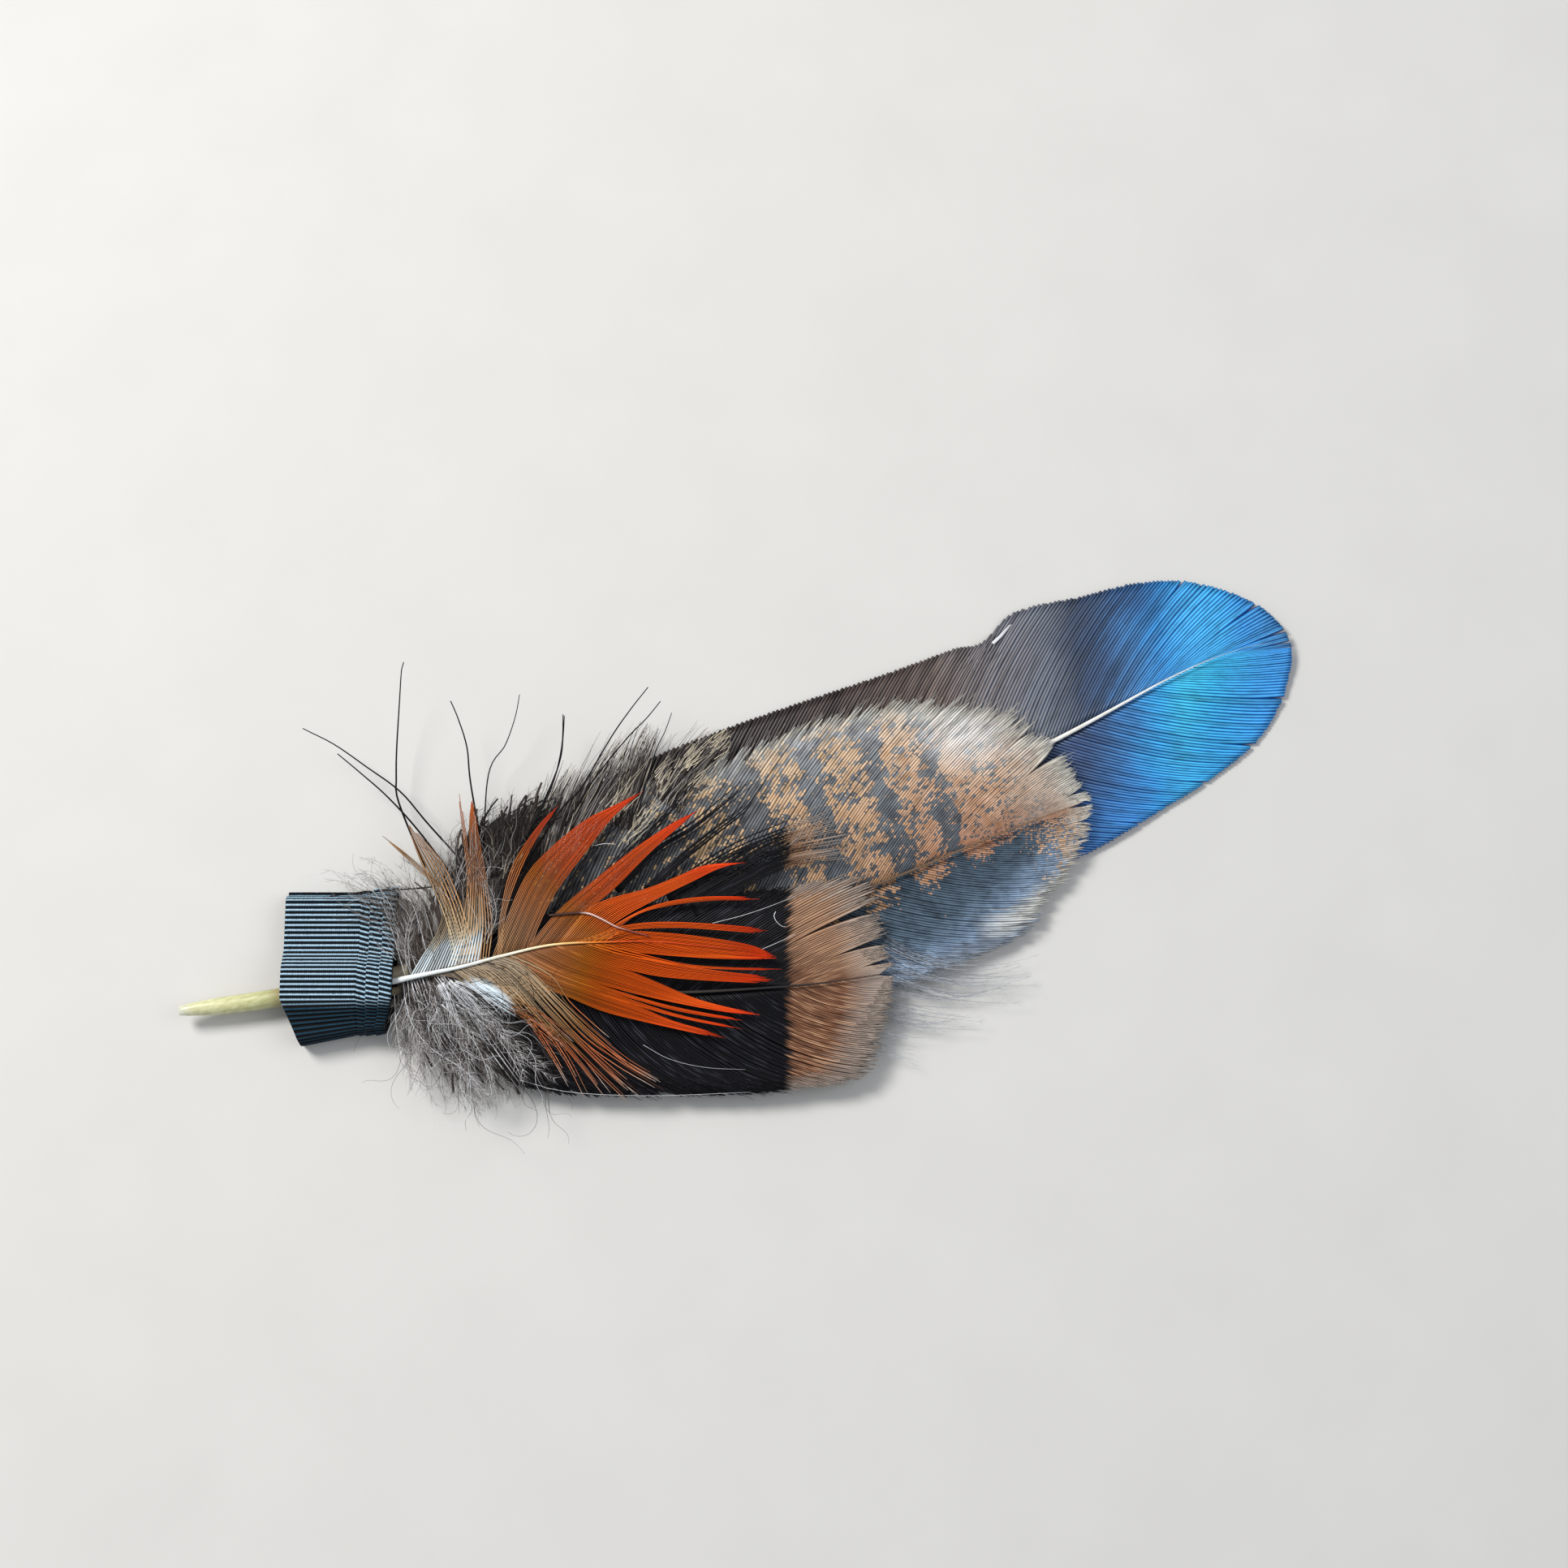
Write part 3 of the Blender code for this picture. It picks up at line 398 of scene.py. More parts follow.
def bed(x, y):
    """Height of the lowest vane, mid thickness: an arch along its shaft that droops to both sides."""
    arch = np.interp(x, ARCH_X, ARCH_Z)
    away = y - np.interp(x, BLUE_LINE[:, 0], BLUE_LINE[:, 1])
    free = arch - DROOP * (1 - np.exp(-((away / DROOP_REACH) ** 2)))
    return 0.5 * (free + LOWEST_VANE + np.sqrt((free - LOWEST_VANE) ** 2 + 0.3))


def smooth_step(x, start, end):
    """From 0 at start to 1 at end, level at both."""
    t = np.clip((x - start) / (end - start), 0, 1)
    return t * t * (3 - 2 * t)


def layer_height(feather, x, y):
    """Height of a feather: on its layer along the vanes, and at its quill's height towards the loop."""
    spread = smooth_step(x, QUILLS_UNTIL_X, LAYERS_FROM_X)
    quill = feather["quill_z"] - SHAFT_PROUD + feather["radius"][1]
    return (1 - spread) * quill + spread * (bed(x, y) + feather["layer"] * LAYER_PITCH)


class Strands:
    """Thin closed strands that become one mesh, with where each point lies on its feather."""

    def __init__(self):
        self.places, self.faces, self.barbs, self.rims, self.count = [], [], [], [], 0

    def add(self, line, half, rise, barb, normal=None):
        """Adds n strands of m points: line (n, m, 3), half width and rise (n, m), barb (n, m, 3)."""
        n, m, _ = line.shape
        fall = rise * 0.8
        run = np.gradient(line, axis=1)
        run /= np.linalg.norm(run, axis=2, keepdims=True) + 1e-9
        up = np.zeros_like(line) + (0, 0, 1) if normal is None else normal
        across = np.cross(up, run)
        across /= np.linalg.norm(across, axis=2, keepdims=True) + 1e-9
        up = np.cross(run, across)
        half, rise, fall = half[..., None], rise[..., None], fall[..., None]
        ring = np.stack([line + across * half, line + up * rise, line - across * half, line - up * fall], axis=2)
        self.places.append(ring.reshape(-1, 3))
        self.barbs.append(np.repeat(barb[:, :, None, :], 4, axis=2).reshape(-1, 3))
        steps = np.linalg.norm(np.diff(line, axis=1), axis=2)[:, ::-1]
        left = np.concatenate([np.zeros((n, 1)), np.cumsum(steps, axis=1)], axis=1)[:, ::-1]
        side = np.tile((1.0, 0.0, 1.0, 0.3), (n, m, 1))
        self.rims.append(np.stack([side, left[..., None] + 0 * side, 0 * side], axis=-1).reshape(-1, 3))
        index = np.arange(n * m * 4).reshape(n, m, 4) + self.count
        near, far = index[:, :-1], index[:, 1:]
        sides = np.stack([near, far, np.roll(far, -1, axis=2), np.roll(near, -1, axis=2)], axis=-1)
        self.faces.append(sides.reshape(-1, 4))
        self.faces.append(index[:, 0, :])
        self.faces.append(index[:, -1, ::-1])
        self.count += n * m * 4

    def build(self, name, material):
        places = np.concatenate(self.places)
        made = mesh_object(name, places, np.concatenate(self.faces), np.concatenate(self.barbs), material)
        rim = made.data.attributes.new("rim", "FLOAT_VECTOR", "POINT")
        rim.data.foreach_set("vector", np.concatenate(self.rims).astype(np.float32).ravel())
        return made


def mesh_object(name, places, quads, barbs, material):
    """A mesh object from points in millimetres and four-cornered faces."""
    mesh = bpy.data.meshes.new(name)
    mesh.vertices.add(len(places))
    mesh.vertices.foreach_set("co", ((places + SHIFT) * MM).astype(np.float32).ravel())
    mesh.loops.add(len(quads) * 4)
    mesh.loops.foreach_set("vertex_index", quads.astype(np.int32).ravel())
    mesh.polygons.add(len(quads))
    mesh.polygons.foreach_set("loop_start", np.arange(0, len(quads) * 4, 4, dtype=np.int32))
    for label, values in (("barb", barbs), ("spot", places)):
        kept = mesh.attributes.new(label, "FLOAT_VECTOR", "POINT")
        kept.data.foreach_set("vector", values.astype(np.float32).ravel())
    mesh.update(calc_edges=True)
    mesh.validate()
    mesh.shade_smooth()
    mesh.materials.append(material)
    made = bpy.data.objects.new(name, mesh)
    bpy.context.scene.collection.objects.link(made)
    return made


def crossing(root, angle, edge):
    """How far along a line of points a ray from root meets it, the furthest meeting, or the line's end."""
    way = np.array([math.cos(angle), math.sin(angle)])
    off = (edge - root) @ np.array([-way[1], way[0]])
    ahead = (edge - root) @ way
    change = np.nonzero((off[:-1] * off[1:] <= 0) & (ahead[:-1] > 0))[0]
    if len(change) == 0:
        return None
    i = change[-1]
    return (i + off[i] / (off[i] - off[i + 1] + 1e-12)) / (len(edge) - 1)


def surface_normal(feather, x, y):
    """Unit normal of the surface that a feather's barbs lie on."""
    step = 0.2
    slope_x = (layer_height(feather, x + step, y) - layer_height(feather, x - step, y)) / (2 * step)
    slope_y = (layer_height(feather, x, y + step) - layer_height(feather, x, y - step)) / (2 * step)
    normal = np.stack([-slope_x, -slope_y, np.ones_like(slope_x)], axis=-1)
    return normal / np.linalg.norm(normal, axis=-1, keepdims=True)


def half_vane(strands, feather, side, splits, seed, points=15, fray=0.05, relief=0.4, tips_left=0.3, ripple=None):
    """One half of a vane: barbs side by side from the shaft to the outline, parted at the splits."""
    rng = np.random.default_rng(seed)
    table = feather[side + "_barbs"]
    spine = smooth_line(feather["spine"])
    edge = smooth_line(feather[side])
    dense = edge(np.linspace(0, 1, 800))
    start, count = feather["vane_from"], table["count"]
    along = np.linspace(0, 1, count)
    along = along + rng.normal(0, 0.06 / count, count)
    along = np.clip(np.sort(along), 0, 1)
    roots = spine(start + (feather["vane_to"] - start) * along)
    where, angle = np.array(table["angles"], float).T
    met = [crossing(roots[i], math.radians(np.interp(along[i], where, angle)), dense) for i in range(count)]
    known = [i for i in range(count) if met[i] is not None]
    met = np.interp(np.arange(count), known, [met[i] for i in known])
    met = np.maximum.accumulate(met)
    met = met * (1 - along**12) + along**12

    reach = np.linspace(0, 1, points)[None, :] ** 0.9
    tips = met[:, None] + np.zeros((1, points))
    for place, opening, begins, width in splits:
        away = along[:, None] - place
        opened = np.clip((reach - begins) / (1 - begins), 0, 1) ** 1.4
        tips = tips + np.sign(away) * opening * opened * np.exp(-np.abs(away) / width)
    tips = np.clip(tips, 0, 1)
    length = 1 - np.abs(rng.normal(0, fray, (count, 1))) - 0.004
    t = reach * length
    root = roots[:, None, :]
    tip = edge(tips)
    bow = table["bow"] * (1 + rng.normal(0, 0.015, (count, 1, 1))) * (1 - along[:, None, None] ** 6)
    chord = tip - root
    middle = (root + tip) / 2 + 2 * bow * np.stack([-chord[..., 1], chord[..., 0]], axis=-1)
    t = t[..., None]
    flat = (1 - t) ** 2 * root + 2 * t * (1 - t) * middle + t * t * tip
    x, y = flat[..., 0], flat[..., 1]
    sign = 1 if side == "upper" else -1
    lie = layer_height(feather, x, y) + 0.04 * np.sin(along[:, None] * 70 + 3 * reach) * reach
    lie = lie + rng.normal(0, 0.008, (count, 1)) * reach
    if ripple is not None:
        lie = lie + ripple(x, y)
    line = np.stack([x, y, lie], axis=-1)

    run = np.gradient(flat, axis=1)
    run /= np.linalg.norm(run, axis=2, keepdims=True) + 1e-9
    step = np.diff(flat, axis=0)
    gap = np.abs(step[..., 0] * run[:-1, :, 1] - step[..., 1] * run[:-1, :, 0])
    gap = (np.vstack([gap[:1], gap]) + np.vstack([gap, gap[-1:]])) / 2
    kernel = np.ones(9) / 9
    usual = np.stack([np.convolve(np.pad(column, 4, "edge"), kernel, "valid") for column in gap.T], axis=-1)
    half = 0.7 * np.clip(np.minimum(gap, usual * 1.15), 0.04, 0.6)
    taper = np.clip((1 - reach) / 0.07, 0.0, 1) ** 0.7
    half = half * (tips_left + (1 - tips_left) * taper)
    rise = np.clip(half * relief, 0.02, 0.14) * (1 + rng.normal(0, 0.10, (count, 1)))
    barb = np.stack([along[:, None] + 0 * t[..., 0], sign * t[..., 0], rng.random((count, 1)) + 0 * t[..., 0]],
                    axis=-1)
    strands.add(line, half, rise, barb, normal=surface_normal(feather, x, y))
    return line, barb


def frayed_ends(strands, lines, barb, seed, per=3, part=0.25, spread=0.18, half=0.045, longer=0.03):
    """Fine hairs that carry the last part of each barb on, a little to either side of it."""
    rng = np.random.default_rng(seed)
    lines, barb = np.repeat(lines, per, axis=0), np.repeat(barb, per, axis=0)
    count, points, _ = lines.shape
    begins = 1 - part * (0.5 + 0.5 * rng.random(count))
    ends = 1 + longer * rng.normal(0, 1, count)
    t = np.linspace(0, 1, 6)[None, :]
    at = (begins[:, None] + (ends - begins)[:, None] * t) * (points - 1)
    low = np.clip(at.astype(int), 0, points - 2)
    share = (at - low)[..., None]
    rows = np.arange(count)[:, None]
    line = lines[rows, low] * (1 - share) + lines[rows, low + 1] * share
    kept = barb[rows, low] * (1 - share) + barb[rows, low + 1] * share
    run = line[:, -1, :2] - line[:, 0, :2]
    run /= np.linalg.norm(run, axis=1, keepdims=True) + 1e-9
    left = np.stack([-run[:, 1], run[:, 0], 0 * run[:, 0]], axis=-1)
    line = line + left[:, None] * (rng.normal(0, spread, (count, 1)) * t**1.5)[..., None]
    line[..., 2] += 0.06 + 0.1 * rng.random((count, 1)) * t
    kept[..., 2] = rng.random((count, 1))
    halves = half * (1 + rng.normal(0, 0.15, (count, 1))) * (1 - 0.6 * t)
    strands.add(line, halves, halves, kept)


def tuft(strands, feather, root, tip, width, bow, count, seed, points=12, half=0.16, lift=0.0, spread=0.25,
         stagger=0.12, curl=0.0, above=0.08):
    """A free lock: barbs that start side by side and draw together, or part, towards the tip."""
    rng = np.random.default_rng(seed)
    root, tip = np.array(root, float), np.array(tip, float)
    way = tip - root
    size = np.linalg.norm(way)
    left = np.array([-way[1], way[0]]) / size
    slot = np.linspace(-0.5, 0.5, count) if count > 1 else np.zeros(1)
    start = root + left * (slot * width)[:, None]
    end = tip + left * ((slot + rng.normal(0, 0.12, count)) * width * spread)[:, None]
    reach = 1 - np.abs(rng.normal(0, stagger, count))
    end = start + (end - start) * reach[:, None]
    chord = end - start
    bows = bow + rng.normal(0, 0.012, count) + curl * rng.normal(0, 1, count)
    middle = (start + end) / 2 + 2 * bows[:, None] * np.stack([-chord[:, 1], chord[:, 0]], axis=-1)
    t = np.linspace(0, 1, points)[None, :, None]
    flat = (1 - t) ** 2 * start[:, None] + 2 * t * (1 - t) * middle[:, None] + t * t * end[:, None]
    t = t[..., 0]
    if curl:
        wave = curl * size * 0.35 * np.sin(2 * np.pi * (1.3 * t + rng.random((count, 1)))) * t
        flat = flat + left * wave[..., None]
    x, y = flat[..., 0], flat[..., 1]
    z = layer_height(feather, x, y) + above + lift * t**4 + rng.normal(0, 0.06, (count, 1))
    line = np.stack([x, y, z], axis=-1)
    halves = half * (1 + rng.normal(0, 0.1, (count, 1))) * (1 - 0.82 * t**1.5)
    rise = halves * 0.7
    barb = np.stack([t + np.zeros((count, 1)), t + np.zeros((count, 1)), rng.random((count, 1)) + 0 * t], axis=-1)
    strands.add(line, halves, rise, barb)
    return line


def barbules(strands, lines, seed, spacing=0.5, length=1.6, half=0.035):
    """Short soft hairs along both sides of down barbs."""
    rng = np.random.default_rng(seed)
    for line in lines:
        run = np.linalg.norm(np.diff(line, axis=0), axis=1).sum()
        count = max(int(run / spacing), 4)
        at = np.sort(rng.random(count) * 0.93 + 0.05)
        steps = np.linspace(0, 1, len(line))
        base = np.stack([np.interp(at, steps, column) for column in line.T], axis=-1)
        ahead = np.stack([np.interp(np.clip(at + 0.02, 0, 1), steps, column) for column in line.T], axis=-1)
        way = (ahead - base)[:, :2]
        way /= np.linalg.norm(way, axis=1, keepdims=True) + 1e-9
        turn = np.where(np.arange(count) % 2 == 0, 1, -1) * (0.7 + rng.normal(0, 0.2, count))
        cos, sin = np.cos(turn), np.sin(turn)
        out = np.stack([way[:, 0] * cos - way[:, 1] * sin, way[:, 0] * sin + way[:, 1] * cos], axis=-1)
        size = length * (0.5 + rng.random(count)) * (1 - 0.6 * at)
        t = np.linspace(0, 1, 4)[None, :, None]
        flat = base[:, None, :2] + out[:, None] * t * size[:, None, None] + way[:,
                                                                                None] * (t**2) * size[:, None, None] * 0.4
        z = base[:, None, 2:] + rng.normal(0, 0.3, (count, 1, 1)) * t
        hair = np.concatenate([flat, z], axis=2)
        hair[..., 2] = np.maximum(hair[..., 2], 0.15)
        halves = half * (1 - 0.7 * t[..., 0]) + np.zeros((count, 1))
        barb = np.stack([at[:, None] + 0 * t[..., 0], at[:, None] + 0 * t[..., 0],
                         rng.random((count, 1)) + 0 * t[..., 0]], axis=-1)
        strands.add(hair, halves, halves, barb)


def ruled_lock(strands, feather, one, other, count, seed, points=18, above=0.06, fill=0.72):
    """A lock whose barbs fill the space between two edge lines that meet at its tip."""
    rng = np.random.default_rng(seed)
    share = np.linspace(0, 1, count)[:, None]
    t = np.linspace(0, 1, points)[None, :]
    reach = 1 - np.abs(rng.normal(0, 0.03, (count, 1))) - 0.07 * np.abs(share * 2 - 1) ** 1.5
    t = t * reach
    a, b = smooth_line(one)(t), smooth_line(other)(t)
    flat = a + (b - a) * share[..., None]
    run = np.gradient(flat, axis=1)
    run /= np.linalg.norm(run, axis=2, keepdims=True) + 1e-9
    apart = b - a
    gap = np.abs(apart[..., 0] * run[..., 1] - apart[..., 1] * run[..., 0]) / max(count - 1, 1)
    x, y = flat[..., 0], flat[..., 1]
    z = layer_height(feather, x, y) + above * t + rng.normal(0, 0.02, (count, 1)) * t
    line = np.stack([x, y, z], axis=-1)
    halves = np.clip(gap * fill, 0.05, 0.32) * np.clip((1.02 - t) / 0.08, 0.25, 1)
    rise = np.clip(halves * 0.5, 0.03, 0.12) * (1 + rng.normal(0, 0.1, (count, 1)))
    barb = np.stack([t, share + 0 * t, rng.random((count, 1)) + 0 * t], axis=-1)
    strands.add(line, halves, rise, barb, normal=surface_normal(feather, x, y))


def bunch(strands, feather, line, width, count, seed, half=0.13, points=18, lift=0.0, above=0.1,
          stagger=0.08, over=None, taper=0.8):
    """Loose barbs that follow one line, side by side, parting a little towards their tips."""
    rng = np.random.default_rng(seed)
    reach = 1 - np.abs(rng.normal(0, stagger, (count, 1)))
    reach[0] = 1
    t = np.linspace(0, 1, points)[None, :] * reach
    centre = smooth_line(line)(t)
    run = np.gradient(centre, axis=1)
    run /= np.linalg.norm(run, axis=2, keepdims=True) + 1e-9
    left = np.stack([-run[..., 1], run[..., 0]], axis=-1)
    slot = np.linspace(-0.5, 0.5, count)[:, None] if count > 1 else np.zeros((1, 1))
    drift = rng.normal(0, 0.25, (count, 1)) * t * (count > 1)
    offset = (slot + drift) * width
    flat = centre + left * offset[..., None]
    x, y = flat[..., 0], flat[..., 1]
    z = layer_height(feather, x, y) + above + lift * t**4 + rng.normal(0, 0.08, (count, 1)) * t
    if over is not None:
        z = np.maximum(z, over(x, y))
    shape = np.stack([x, y, z], axis=-1)
    halves = half * (1 + rng.normal(0, 0.12, (count, 1))) * (1 - taper * t**1.5)
    barb = np.stack([t, slot + 0.5 + 0 * t, rng.random((count, 1)) + 0 * t], axis=-1)
    strands.add(shape, halves, halves * 0.7, barb)
    return shape


def loop_top(x, y):
    """Height just above the ribbon loop, and far below the bundle away from it."""
    cos, sin = math.cos(LOOP_TURN), math.sin(LOOP_TURN)
    dx, dy = x - LOOP_MIDDLE[0], y - LOOP_MIDDLE[1]
    along, w = dx * cos + dy * sin, -dx * sin + dy * cos
    low_side, high_side = LOOP_SLOT
    half = LOOP_WIDTH / 2
    side_height = low_side + (high_side - low_side) * (w / half + 1) / 2
    crown = np.exp(-(((w - LOOP_CROWN_AT) / LOOP_CROWN_REACH) ** 4))
    top = LOOP_WALL * 2 + side_height + (LOOP_CROWN - LOOP_WALL - side_height) * crown
    top = top + np.interp(along, [PLY_STARTS[0] - 0.5, PLY_STARTS[0] + 0.1, LOOP_LENGTH / 2], [0, 0.4, 0.75])
    inside = (np.abs(along) < LOOP_LENGTH / 2 + 0.5) & (np.abs(w) < half + 0.3)
    return np.where(inside, top + 0.2, -9.0)


def down_sheet(strands, feather, lines, per_gap, seed, half=0.06, curl=0.7, above=0.0, over=None, spacing=0.5,
               length=1.5, fine=0.018, thick=1.0):
    """Soft down between lines in order: thin wavering barbs with short hairs along both sides."""
    rng = np.random.default_rng(seed)
    made = []
    total = (len(lines) - 1) * per_gap
    for i in range(total):
        place = (i + rng.random()) / total * (len(lines) - 1)
        k = min(int(place), len(lines) - 2)
        share = place - k
        t = np.linspace(0, 1, 14) * (1 - abs(rng.normal(0, 0.15)))
        flat = smooth_line(lines[k])(t) * (1 - share) + smooth_line(lines[k + 1])(t) * share
        run = np.gradient(flat, axis=0)
        run /= np.linalg.norm(run, axis=1, keepdims=True) + 1e-9
        left = np.stack([-run[:, 1], run[:, 0]], axis=-1)
        turns, phase = rng.uniform(0.6, 1.7), rng.random() * 2 * np.pi
        wave = curl * t**1.3 * (np.sin(2 * np.pi * turns * t + phase) - math.sin(phase))
        flat = flat + left * wave[:, None]
        x, y = flat[:, 0], flat[:, 1]
        z = layer_height(feather, x, y) + above + rng.normal(0, 0.35) * t + 0.3 * np.sin(5 * t + phase) * t
        if over is not None:
            z = np.maximum(z, over(x, y) + 0.3 * rng.random())
        made.append(np.stack([x, y, np.maximum(z, 0.2)], axis=-1))
    line = np.array(made)
    count = len(line)
    t = np.linspace(0, 1, 14)[None, :] + np.zeros((count, 1))
    halves = half * (1 + rng.normal(0, 0.15, (count, 1))) * (1 - 0.7 * t)
    barb = np.stack([t, t, rng.random((count, 1)) + 0 * t], axis=-1)
    strands.add(line, halves, halves * thick, barb)
    barbules(strands, line, seed + 1, spacing, length, fine)


def curls(strands, feather, sources, count, seed, length, half, above=0.0, over=None, stray=0.45, curly=1.0,
          tone=None):
    """Loose curling hairs: each starts near one of the sources and leaves about its way."""
    rng = np.random.default_rng(seed)
    picked = np.array(sources, float)[rng.integers(0, len(sources), count)]
    t = np.linspace(0, 1, 16)[None, :]
    size = length * (0.4 + 0.8 * rng.random((count, 1)))
    way = np.radians(picked[:, 2:3]) + rng.normal(0, stray, (count, 1))
    bend = rng.normal(0, 1.0, (count, 1))
    wave = 0.9 * np.sin(2 * np.pi * (t * rng.uniform(0.5, 1.6, (count, 1)) + rng.random((count, 1))))
    heading = way + curly * (bend + wave) * t
    step = size / 15
    x = picked[:, :1] + rng.normal(0, 1, (count, 1)) * picked[:, 3:4] + np.cumsum(np.cos(heading) * step, axis=1)
    y = picked[:, 1:2] + rng.normal(0, 1, (count, 1)) * picked[:, 3:4] + np.cumsum(np.sin(heading) * step, axis=1)
    z = layer_height(feather, x, y) + above + rng.normal(0, 0.5, (count, 1)) * t + 0.6 * t**2 * rng.random((count, 1))
    if over is not None:
        z = np.maximum(z, over(x, y) + 0.4 * rng.random((count, 1)))
    line = np.stack([x, y, np.maximum(z, 0.25)], axis=-1)
    halves = half * (1 + rng.normal(0, 0.15, (count, 1))) * (1 - 0.6 * t)
    tones = rng.random((count, 1)) if tone is None else tone + rng.normal(0, 0.03, (count, 1))
    barb = np.stack([t + 0 * x, t + 0 * x, tones + 0 * x], axis=-1)
    strands.add(line, halves, halves, barb)
    return line


def shaft(name, feather, radii, material, rings=90, sides=12, low=0.0):
    """The tapered quill and shaft, round along its length, and set lower by low under the vane."""
    spine = smooth_line(feather["spine"])
    t = np.linspace(0, 1, rings) * 0.985
    flat = spine(t)
    radius = np.interp(t, *np.array(radii).T)
    x, y = flat[:, 0], flat[:, 1]
    z = layer_height(feather, x, y) + SHAFT_PROUD - radius - low * smooth_step(t, 0.2, 0.45)
    line = np.stack([x, y, z], axis=-1)
    run = np.gradient(line, axis=0)
    run /= np.linalg.norm(run, axis=1, keepdims=True)
    across = np.cross(np.array([0, 0, 1.0]), run)
    across /= np.linalg.norm(across, axis=1, keepdims=True)
    up = np.cross(run, across)
    turn = np.arange(sides) / sides * 2 * np.pi
    ring = (line[:, None] + across[:, None] * (np.cos(turn)[None, :, None] * radius[:, None, None])
            + up[:, None] * (np.sin(turn)[None, :, None] * radius[:, None, None]))
    places = ring.reshape(-1, 3)
    index = np.arange(rings * sides).reshape(rings, sides)
    quads = np.stack([index[:-1], np.roll(index[:-1], -1, axis=1), np.roll(index[1:], -1, axis=1), index[1:]],
                     axis=-1).reshape(-1, 4)
    caps = []
    for row, flip in ((index[0], True), (index[-1], False)):
        for k in range(1, sides - 2, 2):
            corner = [row[0], row[k], row[k + 1], row[k + 2]]
            caps.append(corner[::-1] if flip else corner)
    quads = np.vstack([quads, np.array(caps)])
    barb = np.stack([np.repeat(t, sides), np.zeros(rings * sides), np.tile(turn, rings)], axis=-1)
    return mesh_object(name, places, quads, barb, material)


class Finish:
    """A node material built from short calls."""

    def __init__(self, name, roughness=0.5, **sockets):
        self.material = bpy.data.materials.new(name)
        self.material.use_nodes = True
        self.tree = self.material.node_tree
        self.shader = self.tree.nodes["Principled BSDF"]
        self.shader.inputs["Roughness"].default_value = roughness
        for key, value in sockets.items():
            self.shader.inputs[key.replace("_", " ")].default_value = value

    def node(self, kind, inputs=None, **settings):
        made = self.tree.nodes.new("ShaderNode" + kind)
        for key, value in settings.items():
            setattr(made, key, value)
        for key, value in (inputs or {}).items():
            self.put(value, made.inputs[key])
        return made

    def put(self, value, socket):
        if isinstance(value, bpy.types.NodeSocket):
            self.tree.links.new(value, socket)
        else:
            socket.default_value = value

    def attribute(self, name):
        found = self.node("Attribute", attribute_name=name)
        return self.node("SeparateXYZ", {0: found.outputs["Vector"]}).outputs

    def math(self, operation, a, b=0.0, c=0.0):
        return self.node("Math", {0: a, 1: b, 2: c}, operation=operation).outputs[0]

    def times(self, a, b):
        return self.math("MULTIPLY", a, b)

    def plus(self, a, b):
        return self.math("ADD", a, b)

    def line(self, value, slope, start):
        return self.math("MULTIPLY_ADD", value, slope, start)

    def ahead(self, x, y):
        """Place towards the right of the photograph."""
        return self.plus(self.times(x, PHOTO_COS), self.times(y, -PHOTO_SIN))

    def aside(self, x, y, start):
        """Place towards the top of the photograph, and start more."""
        return self.plus(self.times(x, PHOTO_SIN), self.line(y, PHOTO_COS, start))

    def combine(self, x, y, z=0.0):
        return self.node("CombineXYZ", {0: x, 1: y, 2: z}).outputs[0]

    def noise(self, vector, scale=1.0, detail=2.0, rough=0.5):
        return self.node("TexNoise", {"Vector": vector, "Scale": scale, "Detail": detail,
                                      "Roughness": rough}).outputs[0]

    def ramp(self, value, stops, low=0.0, high=1.0, gain=1.0):
        """Colours, or greys, at places between low and high along a value."""
        made = self.node("ValToRGB")
        ramp = made.color_ramp
        while len(ramp.elements) < len(stops):
            ramp.elements.new(1.0)
        for element, (at, colour) in zip(ramp.elements, sorted(stops)):
            element.position = (at - low) / (high - low)
            element.color = linear(colour, gain) if isinstance(colour, str) else (colour, colour, colour, 1)
        scaled = self.line(value, 1 / (high - low), -low / (high - low))
        self.put(scaled, made.inputs[0])
        return made.outputs[0]

    def mix(self, share, a, b, blend="MIX"):
        made = self.node("Mix", data_type="RGBA", blend_type=blend)
        self.put(share, made.inputs[0])
        self.put(a, made.inputs[6])
        self.put(b, made.inputs[7])
        return made.outputs[2]

    def shade(self, base, value, stops, low=0.0, high=1.0):
        """A colour multiplied by the ramp of a value."""
        return self.mix(1.0, base, self.ramp(value, stops, low, high), "MULTIPLY")

    def grain(self, a, b, by_a, by_b, place=0.0, detail=2.0, rough=0.5):
        """Noise over two values, each stretched by its own factor."""
        return self.noise(self.combine(self.times(a, by_a), self.times(b, by_b), place), 1.0, detail, rough)

    def painted_groove_shade(self, base, groove_shade_tint):
        """Painted shade: darkens the two edges of each barb towards a tint, where it dips to its neighbours and shade
        would fall.
        """
        shade = self.ramp(self.attribute("rim")[0], [(0.0, "ffffff"), (0.3, "f9f9f9"), (0.72, groove_shade_tint), (1.0, groove_shade_tint)])
        return self.mix(1.0, base, shade, "MULTIPLY")

    def white_patch(self, x, y, chance):
        """How white: the one patch below the orange shaft where its barbs are white, drawn out along them."""
        ahead = self.plus(self.times(x, 0.63), self.line(y, -0.78, 15.6))
        aside = self.plus(self.times(x, 0.78), self.line(y, 0.63, 38.95))
        away = self.node("VectorMath", {0: self.combine(self.times(ahead, 0.32), self.times(aside, 0.6))},
                         operation="LENGTH").outputs["Value"]
        away = self.plus(away, self.line(chance, 0.3, -0.15))
        return self.ramp(away, [(0.85, 1.0), (1.25, 0.0)], 0, 4)

    def colour(self, value):
        self.put(value, self.shader.inputs["Base Color"])

    def bump(self, height, strength=0.3, distance=0.0001):
        made = self.node("Bump", {"Height": height, "Strength": strength, "Distance": distance})
        self.put(made.outputs[0], self.shader.inputs["Normal"])


